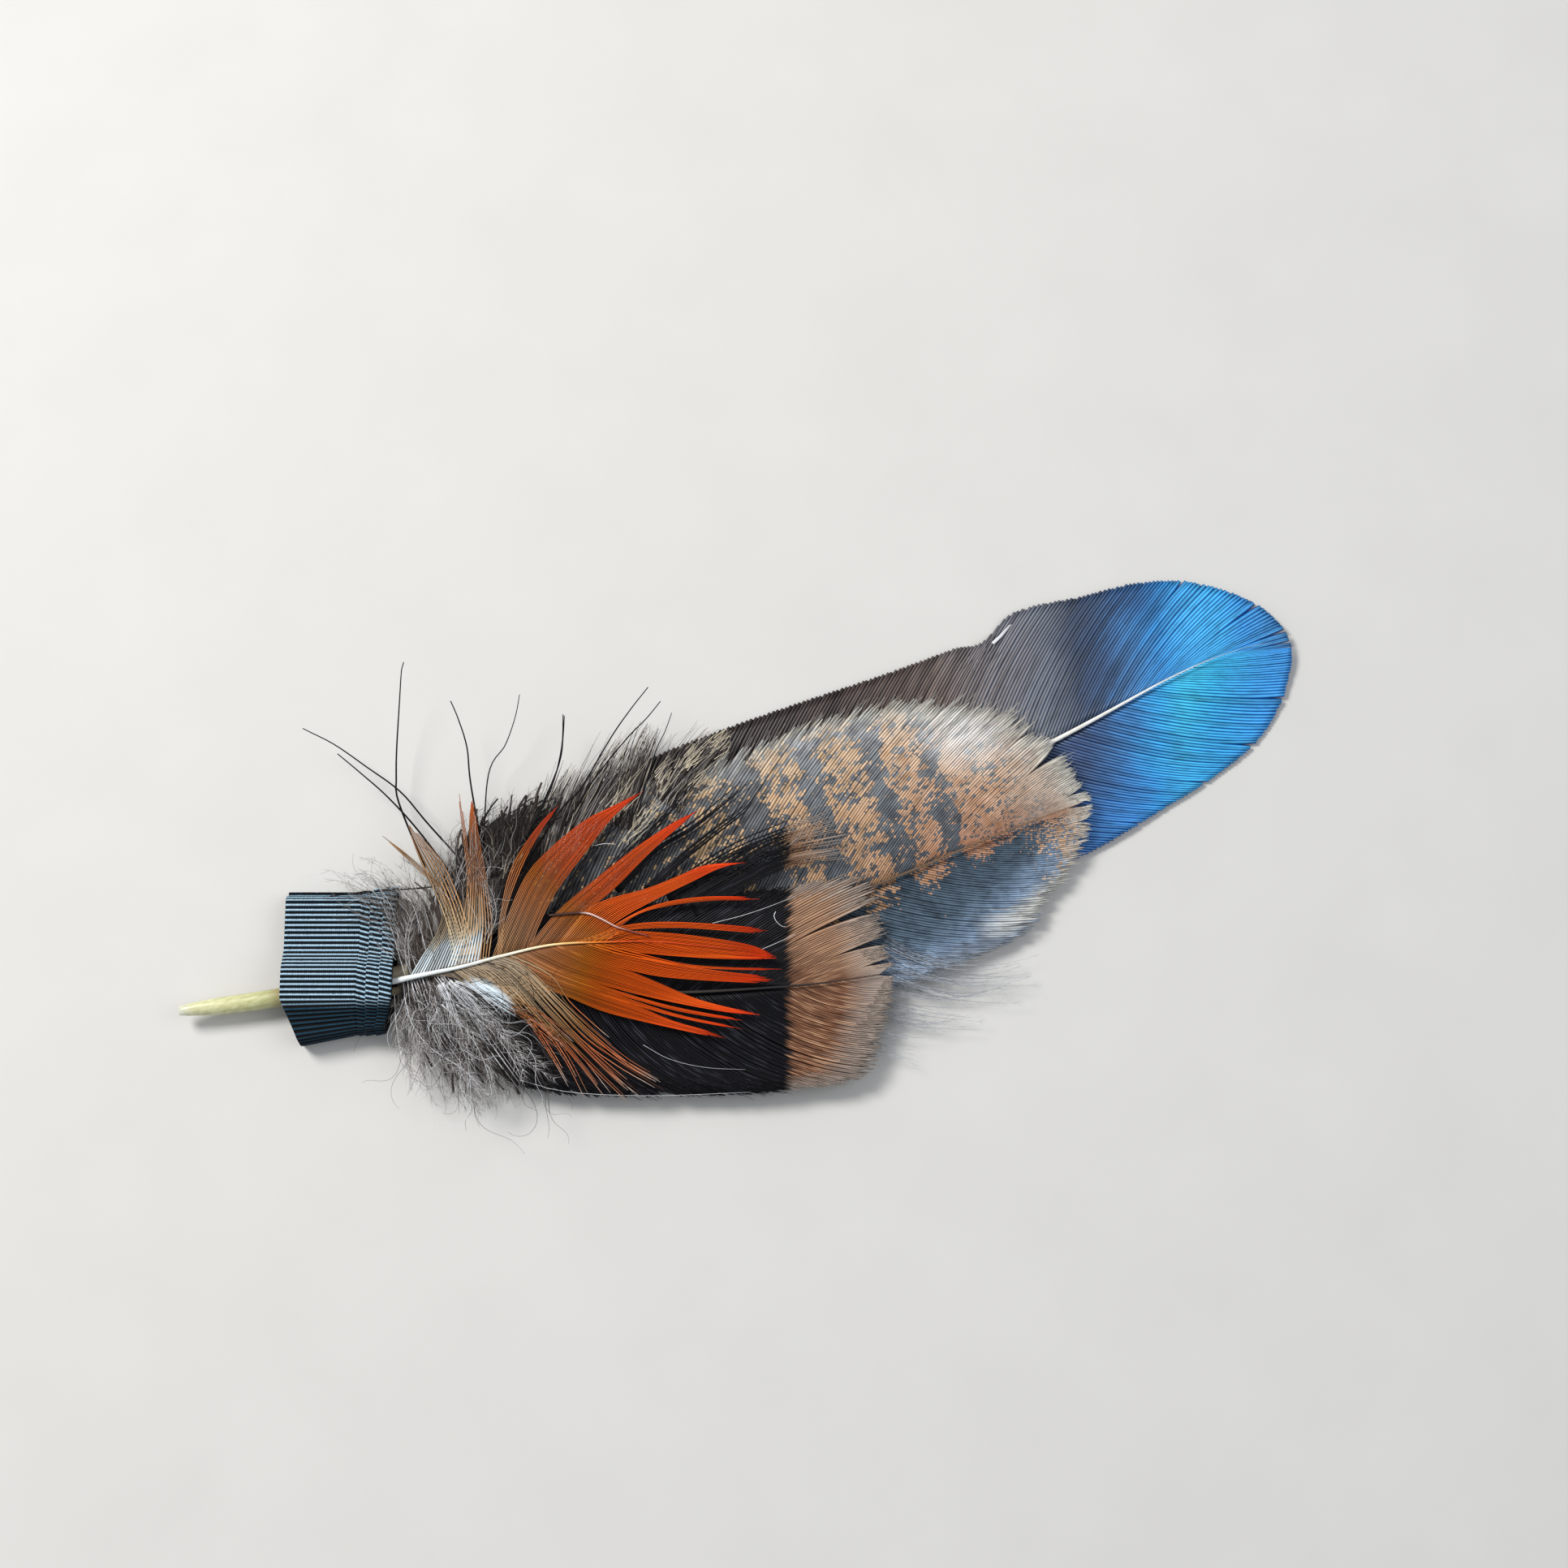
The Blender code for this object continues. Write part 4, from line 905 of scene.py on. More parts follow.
def blue_finish():
    f = Finish("blue_vane_finish", 0.36, Specular_IOR_Level=0.4)
    x, y, _ = f.attribute("spot")
    along, r, chance = f.attribute("barb")
    ahead = f.ahead(x, y)
    drift = f.grain(x, y, 0.16, 0.16, 0.0, 2)
    ahead = f.plus(ahead, f.line(drift, 4.0, -2.0))
    ahead = f.plus(ahead, f.line(chance, 1.2, -0.6))
    upper = f.ramp(ahead, [(0, "3a302c"), (20, "594a43"), (27, "74645b"), (36, "7c787a"), (42, "6c7078"),
                           (46.5, "404a5c"), (50, "3e5472"), (54, "4478a8"), (58, "3a8eca"), (62, "48acec"),
                           (66, "46aef2"), (70, "3f98d8"), (76, "3f7cae")], 0, 84, 1.3)
    lower = f.ramp(ahead, [(0, "302e34"), (38, "454e60"), (46, "46597c"), (50, "466a96"), (54, "4688c0"),
                           (57, "40ace4"), (61, "46c2fa"), (66, "3cb8ff"), (72,
                                                                            "46aafa"), (78, "4c9ee0")], 0, 84, 1.3)
    outer = f.ramp(f.times(r, -1.0), [(0.35, 0.0), (0.75, 1.0)])
    lower = f.mix(f.times(outer, 0.4), lower, linear("3f96ea", 1.3))
    below = f.math("LESS_THAN", r, 0.0)
    base = f.mix(below, upper, lower)
    patch = f.node("VectorMath", {0: f.combine(x, y), 1: (62.5, 13.0, 0)}, operation="DISTANCE").outputs["Value"]
    dark = f.ramp(patch, [(0, 0.6), (2.0, 0.4), (5.0, 0.0)], 0, 8)
    base = f.mix(dark, base, linear("2a3560"))
    streak = f.grain(along, r, 420, 8, 0.0, 2)
    base = f.shade(base, streak, [(0.3, "d8d8d8"), (0.5, "f6f6f6"), (0.7, "ffffff")])
    base = f.shade(base, chance, [(0, "dcdcdc"), (0.6, "fcfcfc"), (1, "ffffff")])
    fold = f.noise(f.combine(f.line(y, -0.22, f.times(x, 0.30)), 4.0), 1.0, 2)
    fold = f.ramp(fold, [(0.35, "9c9490"), (0.5, "ffffff"), (0.62, "ffffff")])
    silk = f.times(f.ramp(x, [(34, 1.0), (46, 0.0)], 0, 84), f.ramp(r, [(0.2, 0.0), (0.7, 0.9)]))
    base = f.mix(silk, base, f.mix(1.0, base, fold, "MULTIPLY"))
    # Painted shade in the dips between barbs, tinted blue.
    f.colour(f.painted_groove_shade(base, "5c8cc0"))
    return f.material


def mottled_finish():
    f = Finish("mottled_vane_finish", 0.55, Specular_IOR_Level=0.3)
    x, y, _ = f.attribute("spot")
    along, r, chance = f.attribute("barb")
    left = f.attribute("rim")[1]
    across = f.math("ABSOLUTE", r)
    below = f.math("LESS_THAN", r, 0.0)
    # the bars: how rare the flecks are, low in the tan bands and high in the dark bars
    place = f.plus(f.times(x, 1.0336), f.line(y, -0.0649, -2.43))
    drift = f.grain(x, y, 0.3, 0.3, 3.0, 4, 0.65)
    place = f.plus(place, f.line(drift, 6.0, -3.0))
    ragged = f.grain(x, y, 1.1, 1.1, 21.0, 3, 0.6)
    place = f.plus(place, f.line(ragged, 5.0, -2.5))
    rare = f.ramp(place, [(-40, 0.60), (-16, 0.58), (-11, 0.54), (-8, 0.46), (-5, 0.48), (-3, 0.60), (0.8, 0.62),
                          (2.3, 0.44), (6.5, 0.44), (7.6, 0.61), (9.6, 0.61), (10.8,
                                                                               0.445), (16, 0.445), (17.1, 0.61),
                          (18.8, 0.61), (19.8, 0.43), (23.9, 0.43), (24.9, 0.59), (26.2, 0.59), (27.2, 0.40),
                          (31, 0.41), (34, 0.45), (38, 0.40), (46, 0.38)], -44, 48)
    plain = f.ramp(f.times(below, across), [(0.0, 0.0), (0.16, 0.04), (0.36, 0.3), (1.0, 0.3)])
    fade = f.ramp(x, [(32, 1.0), (41, 0.1)], -44, 48)
    blotch = f.grain(x, y, 0.35, 0.35, 17.0, 2)
    rare = f.plus(rare, f.times(plain, fade))
    rare = f.plus(rare, f.line(blotch, 0.40, -0.185))
    flecks = f.grain(along, r, 110, 24, 0.0, 4, 0.65)
    shown = f.ramp(f.math("SUBTRACT", flecks, rare), [(-0.015, 0.0), (0.02, 1.0)], -0.1, 0.1)
    slate = f.ramp(across, [(0.0, "50565e"), (0.4, "646a70"), (0.75, "8c9094"), (1.0, "b8bcc0")], gain=1.32)
    teal = f.ramp(across, [(0.15, "485866"), (0.5, "506272"), (0.72, "788ea6"), (1.0, "a8bad0")], gain=1.5)
    slate = f.mix(below, slate, teal)
    depth = f.grain(x, y, 0.4, 0.4, 9.0, 3)
    slate = f.shade(slate, depth, [(0.3, "b8b8bc"), (0.6, "ffffff")])
    tan = f.ramp(across, [(0.0, "b8866a"), (0.4, "c8a084"), (0.75, "dabea4"), (1.0, "ece2d6")], gain=1.2)
    tone = f.grain(x, y, 0.5, 0.5, 5.0, 3)
    tan = f.shade(tan, tone, [(0.3, "e0d0c0"), (0.6, "ffffff")])
    dim = f.ramp(x, [(-44, 0.6), (-20, 0.55), (-5, 0.5), (4, 0.25), (9, 0.0)], -44, 48)
    slate = f.mix(dim, slate, linear("443e3c"))
    golden = f.ramp(x, [(-44, 1.0), (-20, 0.85), (-5, 0.6), (6, 0.4), (18, 0.3), (26, 0.0)], -44, 48)
    tan = f.mix(golden, tan, linear("d4b88c"))
    base = f.mix(shown, slate, tan)
    haze = f.node("VectorMath", {0: f.combine(x, y), 1: (33.5, 3.5, 0)}, operation="DISTANCE").outputs["Value"]
    haze = f.ramp(haze, [(0, 0.9), (3.5, 0.7), (8.5, 0.0)], 0, 20)
    base = f.mix(haze, base, linear("e8e8ea", 1.4))
    base = f.mix(f.times(f.ramp(x, [(34, 0.0), (39, 0.5)], -44, 48), f.ramp(r, [(-0.2, 0.0), (0.1, 1.0)], -1, 1)),
                 base, linear("c4b8ae"))
    margin = f.ramp(left, [(0.0, 1.0), (1.2, 0.85), (3.2, 0.25), (5.5, 0.0)], 0, 20)
    margin = f.times(margin, f.ramp(x, [(-12, 0.25), (-5, 0.5), (6, 0.6), (18, 1.0)], -44, 48))
    margin = f.times(margin, f.ramp(r, [(-1, 0.1), (-0.5, 0.1), (0.4, 1.0)], -1, 1))
    # below, a cream rim that leaves the edge towards the root, and pale down outside it
    rim_at = f.times(f.ramp(x, [(24, 0.242), (30.5, 0.248), (36.7, 0.230), (43, 0.200), (45.5, 0.160)], -44, 48),
                     -100)
    outside = f.math("SUBTRACT", rim_at, y)
    outside = f.plus(outside, f.line(chance, 1.0, -0.5))
    cream = f.ramp(outside, [(-2.6, 0.0), (-0.8, 0.85), (0.6, 0.85), (1.6, 0.0)], -10, 10)
    cream = f.times(cream, f.ramp(x, [(25, 0.0), (29, 0.7), (34, 1.0)], -44, 48))
    downy = f.times(f.ramp(outside, [(0.5, 0.0), (1.8, 0.5)], -10, 10), f.ramp(x, [(16, 0.0), (25, 1.0)], -44, 48))
    base = f.mix(f.times(downy, below), base, linear("8c95a4", 1.1))
    margin = f.math("MAXIMUM", margin, f.times(cream, below))
    tip = f.times(f.ramp(x, [(42.0, 0.0), (45.5, 1.0)], -44, 48), 0.8)
    base = f.mix(f.math("MAXIMUM", margin, tip), base, linear("e6e4da", 1.15))
    streak = f.grain(along, r, 420, 10, 2.0, 2)
    base = f.shade(base, streak, [(0.3, "c0c0c0"), (0.5, "ececec"), (0.7, "ffffff")])
    # Painted shade in the dips between barbs.
    f.colour(f.painted_groove_shade(base, "a6a6a8"))
    return f.material


def down_finish(name, shades, tips=None, roughness=0.7, sheen=0.1, dark_from=None):
    """Soft hairs: each hair one of the shades, its tip towards the tip colour, and dark past some x."""
    f = Finish(name, roughness, Sheen_Weight=sheen, Specular_IOR_Level=0.2)
    along, _, chance = f.attribute("barb")
    base = f.ramp(chance, shades)
    if tips:
        base = f.mix(f.ramp(along, [(0.3, 0.0), (1.0, 0.7)]), base, linear(tips))
    if dark_from is not None:
        x, _, _ = f.attribute("spot")
        past = f.plus(x, f.line(chance, 3.0, -1.5))
        dark = f.ramp(past, [(dark_from, 0.0), (dark_from + 4, 1.0)], -60, -20)
        base = f.mix(dark, base, f.mix(1.0, base, linear("5c5450"), "MULTIPLY"))
    f.colour(base)
    return f.material


def black_tan_finish():
    f = Finish("black_tan_vane_finish", 0.45, Specular_IOR_Level=0.2)
    x, y, _ = f.attribute("spot")
    _, r, chance = f.attribute("barb")
    left = f.attribute("rim")[1]
    ahead = f.ahead(x, y)
    ahead = f.plus(ahead, f.line(chance, 1.0, -0.5))
    tan_share = f.ramp(ahead, [(6.0, 0.0), (6.9, 1.0)], -10, 30)
    tone = f.grain(chance, ahead, 40, 0.25, 4.0, 2)
    tan = f.ramp(tone, [(0.3, "523629"), (0.5, "865d45"), (0.68, "bc9272")])
    tan = f.mix(f.ramp(r, [(0.25, 0.0), (0.7, 0.55)]), tan, linear("cca484"))
    pale = f.ramp(left, [(0.0, 1.0), (2.5, 0.75), (6.5, 0.0)], 0, 20)
    tan = f.mix(f.times(pale, 0.75), tan, linear("c4bcb4"))
    black = f.ramp(tone, [(0.3, "08080c"), (0.55, "101016"), (0.72, "34343e")])
    base = f.mix(tan_share, black, tan)
    # Painted shade in the dips between barbs.
    f.colour(f.painted_groove_shade(base, "6c6460"))
    return f.material


def orange_finish():
    f = Finish("orange_vane_finish", 0.42, Specular_IOR_Level=0.2)
    x, y, _ = f.attribute("spot")
    t, _, chance = f.attribute("barb")
    ahead = f.ahead(x, y)
    aside = f.aside(x, y, 16.2)
    above = f.times(f.math("MAXIMUM", aside, 0.0), 0.9)
    under = f.times(f.math("MAXIMUM", f.times(aside, -1.0), 0.0), 0.3)
    chevron = f.plus(ahead, f.plus(above, under))
    chevron = f.plus(chevron, f.line(chance, 0.8, -0.4))
    base = f.ramp(chevron, [(-50, "d4e2ea"), (-43, "c4d0d2"), (-40, "bcae8a"), (-35, "b48e62"), (-29, "b0805a"),
                            (-23.5, "b4703a"), (-20, "ac6414"), (-17.5, "b85806"), (-13, "dc5c0a"), (-8, "e45c0e"),
                            (-2, "f86012"), (3, "f8540e")], -52, 4, 1.3)
    red = f.times(f.ramp(t, [(0.6, 0.0), (1.0, 0.7)]), f.ramp(chevron, [(-24, 0.0), (-14, 1.0)], -52, 4))
    base = f.mix(red, base, linear("e8240a"))
    base = f.shade(base, chance, [(0, "b4b4b4"), (0.4, "ececec"), (1, "ffffff")])
    high = f.times(f.ramp(aside, [(4.0, 0.0), (8.5, 0.8), (13.0, 1.0)], 0, 30), 0.22)
    high = f.times(high, f.ramp(ahead, [(-17, 1.0), (-11, 0.0)], -52, 4))
    base = f.mix(high, base, f.mix(1.0, base, linear("bc9690"), "MULTIPLY"))
    # Painted shade between barbs: the edges of each barb, where it dips to its neighbours, are multiplied by a darker
    # tint that follows the colour bands.
    lines = f.ramp(chevron, [(-45, "6c5c50"), (-34, "4a3426"), (-29, "54382a"), (-25, "6c4630"), (-19, "a06c44"),
                             (-12, "8c4424"),
                             (3, "b05030")], -52, 4)
    rim = f.ramp(f.attribute("rim")[0], [(0.25, 0.0), (0.6, 1.0)])
    f.colour(f.mix(rim, base, f.mix(1.0, base, lines, "MULTIPLY")))
    return f.material


def root_finish():
    """The root of the orange vane: white above the shaft and in one patch below, then olive."""
    f = Finish("white_root_finish", 0.5, Specular_IOR_Level=0.3)
    x, y, _ = f.attribute("spot")
    t, _, chance = f.attribute("barb")
    moved = f.plus(t, f.line(chance, 0.12, -0.06))
    above = f.ramp(moved, [(0.0, "eef6fa"), (0.30, "dcecf4"), (0.44, "b4aa96"), (0.65, "8a765c"), (1.0, "685646")])
    patch = f.white_patch(x, y, chance)
    under = f.ramp(moved, [(0.0, "a89c8c"), (0.25, "8a7864"), (0.6, "a08866"), (1.0, "8c6c48")])
    under = f.mix(patch, under, linear("eaf6fc"))
    shaft_line = f.line(x, -0.12, -11.9)
    base = f.mix(f.math("LESS_THAN", y, shaft_line), above, under)
    base = f.shade(base, chance, [(0, "b0b0b0"), (0.5, "ececec"), (1, "ffffff")])
    # Painted shade in the dips between barbs.
    base = f.painted_groove_shade(base, "4c4844")
    f.colour(f.mix(f.times(patch, 0.7), base, linear("eaf6fc")))
    return f.material


def strand_finish():
    """Loose lower strands: olive at the root but for a white patch, then brown to pink-orange with pale tips."""
    f = Finish("loose_strand_finish", 0.5, Specular_IOR_Level=0.3)
    x, y, _ = f.attribute("spot")
    t, _, chance = f.attribute("barb")
    moved = f.plus(t, f.line(chance, 0.16, -0.08))
    base = f.ramp(moved, [(0.0, "a08e7a"), (0.2, "bca688"), (0.34, "ccac84"), (0.55, "ac7844"), (0.72, "d87444"),
                          (0.9, "f09a6c"), (1.0, "fbe4d4")])
    base = f.shade(base, chance, [(0, "5c5c5c"), (0.5, "e0e0e0"), (1, "ffffff")])
    patch = f.white_patch(x, y, chance)
    # Painted shade in the dips between barbs, under the white patch.
    f.colour(f.mix(patch, f.painted_groove_shade(base, "807874"), linear("e4f2fa")))
    return f.material


def curled_finish():
    """The barb that curls over the orange vane: dark brown, then a pale mauve whose lightest part is a painted
    highlight, then darker mauve-brown.
    """
    f = Finish("curled_barb_finish", 0.45)
    x, _, _ = f.attribute("spot")
    f.colour(f.ramp(x, [(-30, "2a1810"), (-25, "402018"), (-23.8, "e0c0b8"), (-21, "d0a8a0"), (-19.5, "8c5048"),
                        (-17, "8c4438")], -32, -14))
    return f.material


def shaft_finish(name, stops, roughness=0.35):
    """Horn of a quill, its colour changing along the feather."""
    f = Finish(name, roughness, Coat_Weight=0.2, Coat_Roughness=0.25)
    x, y, _ = f.attribute("spot")
    _, _, turn = f.attribute("barb")
    base = f.ramp(x, stops, -82, 82)
    mottle = f.noise(f.combine(f.times(x, 0.8), f.times(y, 3), turn), 1.0, 3)
    base = f.shade(base, mottle, [(0.3, "e0dccc"), (0.6, "ffffff")])
    f.colour(base)
    f.bump(mottle, 0.2, 0.00006)
    return f.material


def ribbon_finish():
    f = Finish("ribbon_finish", 0.75, Specular_IOR_Level=0.2)
    along, rib, chance = f.attribute("barb")
    # Colour across each rib: a painted highlight on the crest, and painted shade, near black, in the gaps between ribs
    # and on the inner skin.
    crest = f.ramp(rib, [(0.0, "010306"), (0.5, "040c14"), (0.66, "1c3c52"), (0.82, "7ca4bc"), (1.0, "c8e0f0")])
    x, y, _ = f.attribute("spot")
    w = f.aside(x, y, 20.14)
    # Painted shade: the part of the loop that curves under, where w is below -4.4, is darkened to dark teal.
    crest = f.shade(crest, w, [(-10.4, "204450"), (-5.6, "2c5464"), (-4.4, "ffffff")], -12, 12)
    weave = f.noise(f.combine(f.times(along, 7), chance, 0.0), 1.0, 3)
    base = f.shade(crest, weave, [(0.3, "9c9c9c"), (0.6, "ffffff")])
    f.colour(base)
    threads = f.math("SINE", f.times(along, 22.0))
    f.bump(threads, 0.35, 0.00004)
    return f.material


def loop_section(proud, inset, samples):
    """The loop's section, as (across, height) points at equal steps, clockwise from its lower left."""
    half = LOOP_WIDTH / 2 - inset + proud
    low_side, high_side = LOOP_SLOT
    roof = []
    for w in np.linspace(-half * 0.93, half * 0.93, 41):
        side_height = low_side + (high_side - low_side) * (w / half + 1) / 2
        crown = math.exp(-(((w - LOOP_CROWN_AT) / LOOP_CROWN_REACH) ** 4))
        top = LOOP_WALL + side_height + (LOOP_CROWN - LOOP_WALL - side_height) * crown
        roof.append((w, top + LOOP_WALL + proud - inset))
    floor = inset
    left = [(-half * (1 - 0.08 * c * c), floor + (roof[0][1] - floor) * (0.5 + c / 2)) for c in (-0.7, -0.3, 0.3, 0.7)]
    right = [(half * (1 - 0.08 * c * c), floor + (roof[-1][1] - floor) * (0.5 + c / 2)) for c in (0.7, 0.3, -0.3, -0.7)]
    corners = [(-half * 0.94, floor)] + left + roof + right + [(half * 0.94, floor), (-half * 0.94, floor)]
    line = smooth_line(corners, 4)
    return line(np.linspace(0, 1, samples + 1)[:-1])


def ribbed_shell(start, end, proud, phase, seed, slant=0.0, rows=26):
    """A stretch of the ribbed ribbon loop: an outer ribbed skin, a plain inner one, and closed ends."""
    rng = np.random.default_rng(seed)
    probe = loop_section(proud, 0, 400)
    round_way = np.linalg.norm(np.roll(probe, -1, axis=0) - probe, axis=1).sum()
    ribs = int(round(round_way / RIB_PITCH))
    samples = ribs * 8
    outer = loop_section(proud, 0, samples)
    inner = loop_section(0, LOOP_WALL * 0.9, samples)
    tangent = np.roll(outer, -1, axis=0) - np.roll(outer, 1, axis=0)
    tangent /= np.linalg.norm(tangent, axis=1, keepdims=True)
    normal = np.stack([-tangent[:, 1], tangent[:, 0]], axis=-1)
    xs = np.linspace(start, end, rows)
    cos, sin = math.cos(LOOP_TURN), math.sin(LOOP_TURN)
    points, tags = [], []
    for row, along in enumerate(xs):
        share = (along - start) / (end - start)
        turn = (np.arange(samples) / 8 + phase + slant * share) * 2 * np.pi
        crest = np.abs(np.cos(turn / 2)) ** 1.2
        sink = RIB_DEPTH * (1 - crest) + 0.02 * rng.random()
        if row in (0, rows - 1):
            sink = sink + 0.05
        section = outer - normal * sink[:, None]
        points.append(section)
        tags.append(np.stack([np.full(samples, along), crest, np.floor(np.arange(samples) / 8 + phase) * 3.7],
                             axis=-1))
    for along in xs[::-1]:
        points.append(inner)
        tags.append(np.stack([np.full(samples, along), np.full(samples, 0.25), np.zeros(samples)], axis=-1))
    alongs = np.concatenate([xs, xs[::-1]])
    total = len(alongs)
    section = np.array(points)
    w, z = section[..., 0], section[..., 1]
    a = alongs[:, None] + np.zeros_like(w)
    ahead = (a + LOOP_LENGTH / 2) / LOOP_LENGTH
    low = np.clip((LOOP_BEND_AT - w) / (LOOP_BEND_AT + LOOP_WIDTH / 2), 0, 1)
    a = a + low * (2.6 * (1 - ahead) - 1.2 * ahead)
    w = w + low * 2.4 * ahead
    z = np.maximum(z, 0.02)
    x = LOOP_MIDDLE[0] + a * cos - w * sin
    y = LOOP_MIDDLE[1] + a * sin + w * cos
    places = np.stack([x, y, z], axis=-1).reshape(-1, 3)
    index = np.arange(total * samples).reshape(total, samples)
    around = np.roll(index, -1, axis=1)
    after = np.roll(index, -1, axis=0)
    quads = np.stack([index, after, np.roll(after, -1, axis=1), around], axis=-1).reshape(-1, 4)
    return places, quads, np.array(tags).reshape(-1, 3)


def ribbon_loop(material):
    """The loop in four overlapping stretches: the long one, and three plies that step up at the right end."""
    half = LOOP_LENGTH / 2
    parts = [ribbed_shell(-half, PLY_STARTS[0] + 0.3, 0, 0.0, 1)]
    ends = list(PLY_STARTS[1:]) + [half]
    for i, (start, end) in enumerate(zip(PLY_STARTS, ends)):
        parts.append(ribbed_shell(start, end + (0.3 if i < 2 else -0.3), PLY_STEP * (i + 1), 0.5 * (i + 1), 5 + i,
                                  slant=0.6, rows=8))
    places, quads, tags, count = [], [], [], 0
    for a, b, c in parts:
        places.append(a)
        quads.append(b + count)
        tags.append(c)
        count += len(a)
    return mesh_object("ribbon_loop_woven", np.concatenate(places), np.concatenate(quads), np.concatenate(tags),
                       material)


def place_camera():
    """A camera at the photograph's viewing angle."""
    data = bpy.data.cameras.new("photo_camera")
    data.sensor_width = 36
    data.lens = 18 / math.tan(CAMERA_FOV / 2)
    data.clip_start = 0.01
    data.clip_end = 20
    camera = bpy.data.objects.new("photo_camera", data)
    camera.location = Vector(CAMERA_AT) * MM
    camera.rotation_euler = (CAMERA_TILT, 0, CAMERA_TURN)
    bpy.context.scene.collection.objects.link(camera)
    bpy.context.scene.camera = camera


def soft_light(name, at, size, power, colour):
    """A round area light aimed at the middle of the floor."""
    data = bpy.data.lights.new(name, "AREA")
    data.shape = "DISK"
    data.size = size
    data.energy = power
    data.color = colour
    light = bpy.data.objects.new(name, data)
    light.location = at
    light.rotation_euler = (-Vector(at)).to_track_quat("-Z", "Y").to_euler()
    bpy.context.scene.collection.objects.link(light)


def studio():
    """A pale floor with soft light from two sides and all round."""
    world = bpy.data.worlds.new("studio")
    bpy.context.scene.world = world
    world.use_nodes = True
    world.node_tree.nodes["Background"].inputs[0].default_value = (0.92, 0.95, 1.0, 1)
    world.node_tree.nodes["Background"].inputs[1].default_value = 0.42
    soft_light("key", (-0.35, 0.45, 0.6), 0.3, 6.8, (1.0, 0.98, 0.95))
    soft_light("fill", (0.6, -0.2, 0.7), 0.8, 2.2, (0.93, 0.96, 1.0))
    data = bpy.data.meshes.new("floor")
    side = 1.5
    data.from_pydata([(-side, -side, 0), (side, -side, 0), (side, side, 0), (-side, side, 0)], [], [(0, 1, 2, 3)])
    floor = bpy.data.objects.new("floor", data)
    bpy.context.scene.collection.objects.link(floor)
    f = Finish("pale_floor", 0.8)
    spot = f.node("TexCoord").outputs["Object"]
    f.colour(f.ramp(f.noise(spot, 60.0, 3), [(0.3, "cccbc8"), (0.7, "cfcecb")]))
    data.materials.append(f.material)


def hold(piece, node):
    """Makes a piece take the place of a solid and ride on the body."""
    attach(piece, "root")
    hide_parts(node)


def blue_ripple(x, y):
    """The lifted ripple where the blue vane comes out from under the mottled feather."""
    return 0.5 * np.exp(-(((x - 39.5) / 3.5) ** 2)) * smooth_step(y, 8, 14) * np.sin(x * 1.3)


def make_blue():
    vane = Strands()
    half_vane(vane, BLUE, "upper", BLUE_UPPER_SPLITS, 11, fray=0.003, tips_left=0.8, ripple=blue_ripple)
    half_vane(vane, BLUE, "lower", BLUE_LOWER_SPLITS, 12, fray=0.003, tips_left=0.8)
    hold(vane.build("blue_barbs", blue_finish()), "blue_feather")
    edge = Strands()
    bunch(edge, BLUE, PALE_EDGE, 0.2, 2, 14, half=0.14, above=0.2, stagger=0.05, taper=0.6)
    hold(edge.build("blue_pale_edge", down_finish("pale_edge_finish", WHITE_SHADES)), "blue_feather")
    horn = shaft_finish("blue_quill_finish", [(-81, "d8dcd4"), (-78.5, "d8d8b0"), (-74, "d0d0a0"), (-69, "c0c290"),
                                              (-66.5, "9a8c5c"),
                                              (-64, "6e5236"), (-40, "d8d0ba"), (30, "fffaf0"), (58, "f0f4f8"),
                                              (72, "8cb4d8")])
    radii = [(0, 0.62), (0.007, 0.82), (0.017, 1.0), (0.037, 1.2), (0.08, 1.28), (0.3, 1.1), (0.5, 0.8), (0.7, 0.42),
             (0.78, 0.30), (0.88, 0.14), (0.95, 0.05), (1, 0.03)]
    hold(shaft("blue_quill", BLUE, radii, horn, 140), "blue_feather")


SMALL_SHAFT = [(0, 0.6), (0.25, 0.55), (0.5, 0.32), (0.75, 0.18), (1, 0.06)]


